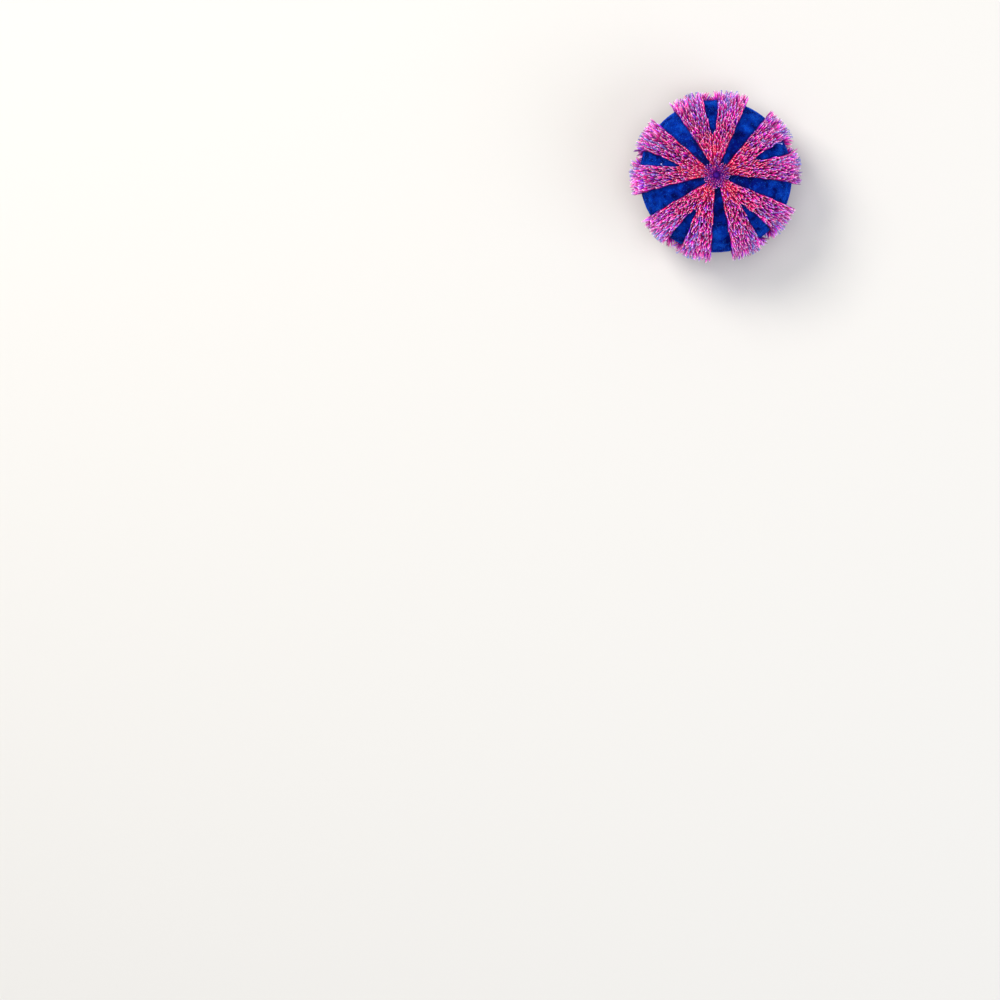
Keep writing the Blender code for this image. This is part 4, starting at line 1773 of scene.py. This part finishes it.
@dataclass
class DiscSpines:
    """The small spines on the plates, longer and more coral towards the spiny tracts.

    Where a size has a pair, it is the size at the middle and how much it grows outwards.
    """

    seed: int = 5
    count: int = 130
    inner_radius: float = 1.35 * MM
    outer_radius: float = 4.1 * MM
    turn: float = math.radians(137.5)
    tract_edge: float = math.radians(16)
    foot_rise: float = 0.12 * MM
    lean: tuple[float, float] = (0.25, 0.3)
    lean_spread: float = 0.15
    length: tuple[float, float] = (0.7 * MM, 0.6 * MM)
    tract_length: float = 1.1 * MM
    length_spread: tuple[float, float] = (0.8, 1.1)
    girth: tuple[float, float] = (0.1 * MM, 0.07 * MM)
    bend: float = 0.05 * MM
    lightest: float = 0.8
    warmth: float = 0.5
    warm_spread: float = 0.4
    cool_share: float = 0.75
    cool_share_lost: float = 0.5
    chill: float = 0.9
    chill_rest: float = 0.1

    def build(self, finish: Material) -> Object:
        """Make the spines and dress them.

        Args:
            finish: The spines' material.

        Returns:
            The spines.
        """
        rng = np.random.default_rng(self.seed)
        count = self.count
        share = np.sqrt((np.arange(count) + 0.5) / count)
        azimuth = np.arange(count) * self.turn
        radius = self.inner_radius + (self.outer_radius - self.inner_radius) * share
        length = SHAPE.dome_length(radius)
        points, normals, _, sides = SHAPE.frames(length, azimuth)
        tract = np.clip(np.abs(PLAN.locate(azimuth)[1]) / self.tract_edge, 0, 1) ** 2
        outward = radial(azimuth) * (self.lean[0] + self.lean[1] * share[:, None])
        aims = unit(normals + outward + rng.normal(0, self.lean_spread, (count, 3)))
        reach = self.length[0] + (self.length[1] + self.tract_length * tract) * share**2
        cool = self.cool_share - self.cool_share_lost * tract
        sprouts = Sprouts(
            feet=points + normals * self.foot_rise,
            aims=aims,
            lengths=reach * rng.uniform(*self.length_spread, count),
            girths=self.girth[0] + self.girth[1] * share,
            bends=sides * rng.normal(0, self.bend, count)[:, None],
            roots=bake_place(length, azimuth),
            tints=rng.uniform(0, self.lightest, count),
            warmths=np.clip(rng.normal(self.warmth, self.warm_spread, count) * tract, 0, 1),
            chills=np.where(rng.uniform(0, 1, count) < cool, self.chill, self.chill_rest),
        )
        mesh = DISC_SPINE.mesh("apical_spines", sprouts, rng)
        return place_piece("apical_spines", mesh, finish, ["apical_disc"])


@dataclass
class Teeth:
    """The five chisel-tipped teeth that show in the mouth."""

    ring: float = 0.95 * MM
    width: float = 1.3 * MM
    thickness: float = 0.75 * MM
    length: float = 3.6 * MM
    tip_height: float = 1.9 * MM
    bow: float = 0.35 * MM
    bow_turn: float = 2.4
    gather: float = 0.55 * MM
    thickness_loss: float = 0.88
    width_loss: float = 0.45
    keel: float = 1.35
    keel_side: float = -0.5
    sections: int = 12
    sides: int = 12

    def build(self, finish: Material) -> None:
        """Make the teeth and dress them.

        Args:
            finish: The teeth's material.
        """
        share = np.linspace(0, 1, self.sections)[:, None]
        turns = ring_of(self.sides)
        keels = [self.keel if math.cos(t) < self.keel_side else 1.0 for t in turns]
        bow = self.ring + self.bow * np.sin((1 - share) * self.bow_turn) - self.gather * share**2
        thick = self.thickness / 2 * (1 - self.thickness_loss * share**3)
        wide = self.width / 2 * (1 - self.width_loss * share**2.5)
        height = self.tip_height + self.length * (1 - share)
        parts = (bow + thick * keels * np.cos(turns), wide * np.sin(turns), height)
        tooth = np.stack(np.broadcast_arrays(*parts), axis=-1)
        for index in range(SECTORS):
            turn = np.array(Matrix.Rotation(FRONT + SECTOR * index, 3, "Z"))
            mesh = ring_solids(f"tooth_{index + 1}", [tooth @ turn.T])
            set_field(mesh, "along", np.repeat(share[:, 0], self.sides))
            place_piece(f"tooth_{index + 1}", mesh, finish, ["mouth"])


@dataclass
class BuccalFeet:
    """The ten short stout tube feet on the membrane round the mouth."""

    seed: int = 10
    ring: float = 4.6 * MM
    length: float = 1.5 * MM
    girth: float = 0.3 * MM
    pairing: float = math.radians(11)
    outward: float = 0.25
    lean_spread: float = 0.08
    bend: float = 0.1 * MM
    root_share: float = 0.97

    def build(self, finish: Material) -> Object:
        """Make the buccal feet and dress them.

        Args:
            finish: The tube feet's material.

        Returns:
            The buccal feet.
        """
        rng = np.random.default_rng(self.seed)
        middles = FRONT + HALF_SECTOR + SECTOR * np.arange(SECTORS)
        azimuth = (middles[:, None] + np.array([-1, 1]) * self.pairing).ravel()
        count = len(azimuth)
        outward = radial(azimuth)
        lean = rng.normal(0, self.lean_spread, (count, 3))
        sprouts = Sprouts(
            feet=outward * self.ring + UP * (SHAPE.mouth_edge()[1] + SHAPE.membrane_sink),
            aims=unit(-UP + outward * self.outward + lean),
            lengths=np.full(count, self.length),
            girths=np.full(count, self.girth),
            bends=outward * self.bend,
            roots=bake_place(np.full(count, SHAPE.whole_length() * self.root_share), azimuth),
            tints=rng.uniform(0, 1, count),
        )
        mesh = BUCCAL_FOOT.mesh("buccal_feet", sprouts, rng)
        return place_piece("buccal_feet", mesh, finish, ["mouth"])


# The studio


@dataclass(frozen=True)
class Lamp:
    """A soft square light: its place, its side, its power in watts and its sRGB hex colour."""

    name: str
    place: tuple[float, float, float]
    size: float
    power: float
    code: str


@dataclass
class Studio:
    """The pale floor, the soft lights and the camera of the photograph."""

    lamps: tuple[Lamp, ...] = (
        Lamp("key_light", (-0.5, 0.55, 0.9), 0.5, 9.0, "#fffaf2"),
        Lamp("fill_light", (0.7, -0.4, 0.7), 0.8, 4.0, "#eef4ff"),
        Lamp("top_light", (0.0, 0.0, 1.6), 0.9, 10.0, "#ffffff"),
    )
    floor_half: float = 3.0
    picture: int = 1000
    view_width: float = 340 * MM
    aim_height: float = 20 * MM
    distance: float = 5.0
    sensor: float = 36.0
    view_end: float = 100.0
    urchin_pixel: tuple[float, float] = (715.7, 176.2)
    roll: float = math.radians(-4.2)
    sky: str = "#f0f3f8"
    sky_strength: float = 0.4

    def build_floor(self) -> None:
        """Lay the floor."""
        work = bmesh.new()
        bmesh.ops.create_grid(work, x_segments=2, y_segments=2, size=self.floor_half)
        mesh = bpy.data.meshes.new("floor")
        work.to_mesh(mesh)
        work.free()
        mesh.materials.append(StudioFloor().build())
        floor = bpy.data.objects.new("floor", mesh)
        bpy.context.scene.collection.objects.link(floor)

    def hang(self, lamp: Lamp) -> None:
        """Hang a lamp so that it points at the urchin.

        Args:
            lamp: The lamp.
        """
        light = bpy.data.lights.new(lamp.name, "AREA")
        light.size, light.energy, light.color = lamp.size, lamp.power, linear(lamp.code)[:3]
        hung = bpy.data.objects.new(lamp.name, light)
        hung.location = lamp.place
        aim = Vector((0.0, 0.0, self.aim_height)) - Vector(lamp.place)
        hung.rotation_euler = aim.to_track_quat("-Z", "Y").to_euler()
        bpy.context.scene.collection.objects.link(hung)

    def build_lights(self) -> None:
        """Hang the lamps and set the sky."""
        for lamp in self.lamps:
            self.hang(lamp)
        world = bpy.data.worlds.new("studio_air")
        world.use_nodes = True
        air = world.node_tree.nodes["Background"].inputs
        air["Color"].default_value = linear(self.sky)
        air["Strength"].default_value = self.sky_strength
        bpy.context.scene.world = world

    def build_camera(self) -> None:
        """Set the camera straight above, so that the urchin falls where the photograph has it."""
        data = bpy.data.cameras.new("camera")
        data.sensor_width = self.sensor
        data.lens = self.sensor * self.distance / self.view_width
        data.clip_end = self.view_end
        camera = bpy.data.objects.new("camera", data)
        scale = self.view_width / self.picture
        right = Vector((math.cos(self.roll), math.sin(self.roll), 0.0))
        up = Vector((-math.sin(self.roll), math.cos(self.roll), 0.0))
        across = (self.urchin_pixel[0] - self.picture / 2) * scale
        above = (self.picture / 2 - self.urchin_pixel[1]) * scale
        camera.location = -right * across - up * above
        camera.location.z = self.aim_height + self.distance
        camera.rotation_euler = (0.0, 0.0, self.roll)
        bpy.context.scene.collection.objects.link(camera)
        bpy.context.scene.camera = camera

    def build(self) -> None:
        """Set up the whole studio."""
        self.build_floor()
        self.build_lights()
        self.build_camera()
        bpy.context.scene.view_settings.view_transform = "Standard"


def main() -> None:
    """Build every piece of the urchin in order and report it."""
    logging.basicConfig(level=logging.INFO, format="%(name)s %(message)s")
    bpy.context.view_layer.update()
    spine_finish = CalciteSpine().build()
    tissue = TubeFootTissue().build()
    velvet_finish = KnobVelvet().build()
    plate_finish = DiscPlate().build()
    Skin().build(LivingSkin().build(), sorted(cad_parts))
    coat = SpineCoat()
    for index in range(SECTORS):
        for side in Side:
            coat.build(index, side, spine_finish)
    velvet = BandVelvet()
    for index in range(SECTORS):
        for narrow in (False, True):
            velvet.build(index, narrow, velvet_finish)
    TubeFeet().build(tissue)
    disc = ApicalDisc()
    disc.build_plates(plate_finish)
    disc.build_pores(PoreRim().build())
    Periproct().build(plate_finish)
    DiscSpines().build(spine_finish)
    Teeth().build(ToothCalcite().build())
    BuccalFeet().build(tissue)
    Studio().build()


if __name__ == "__main__":
    main()
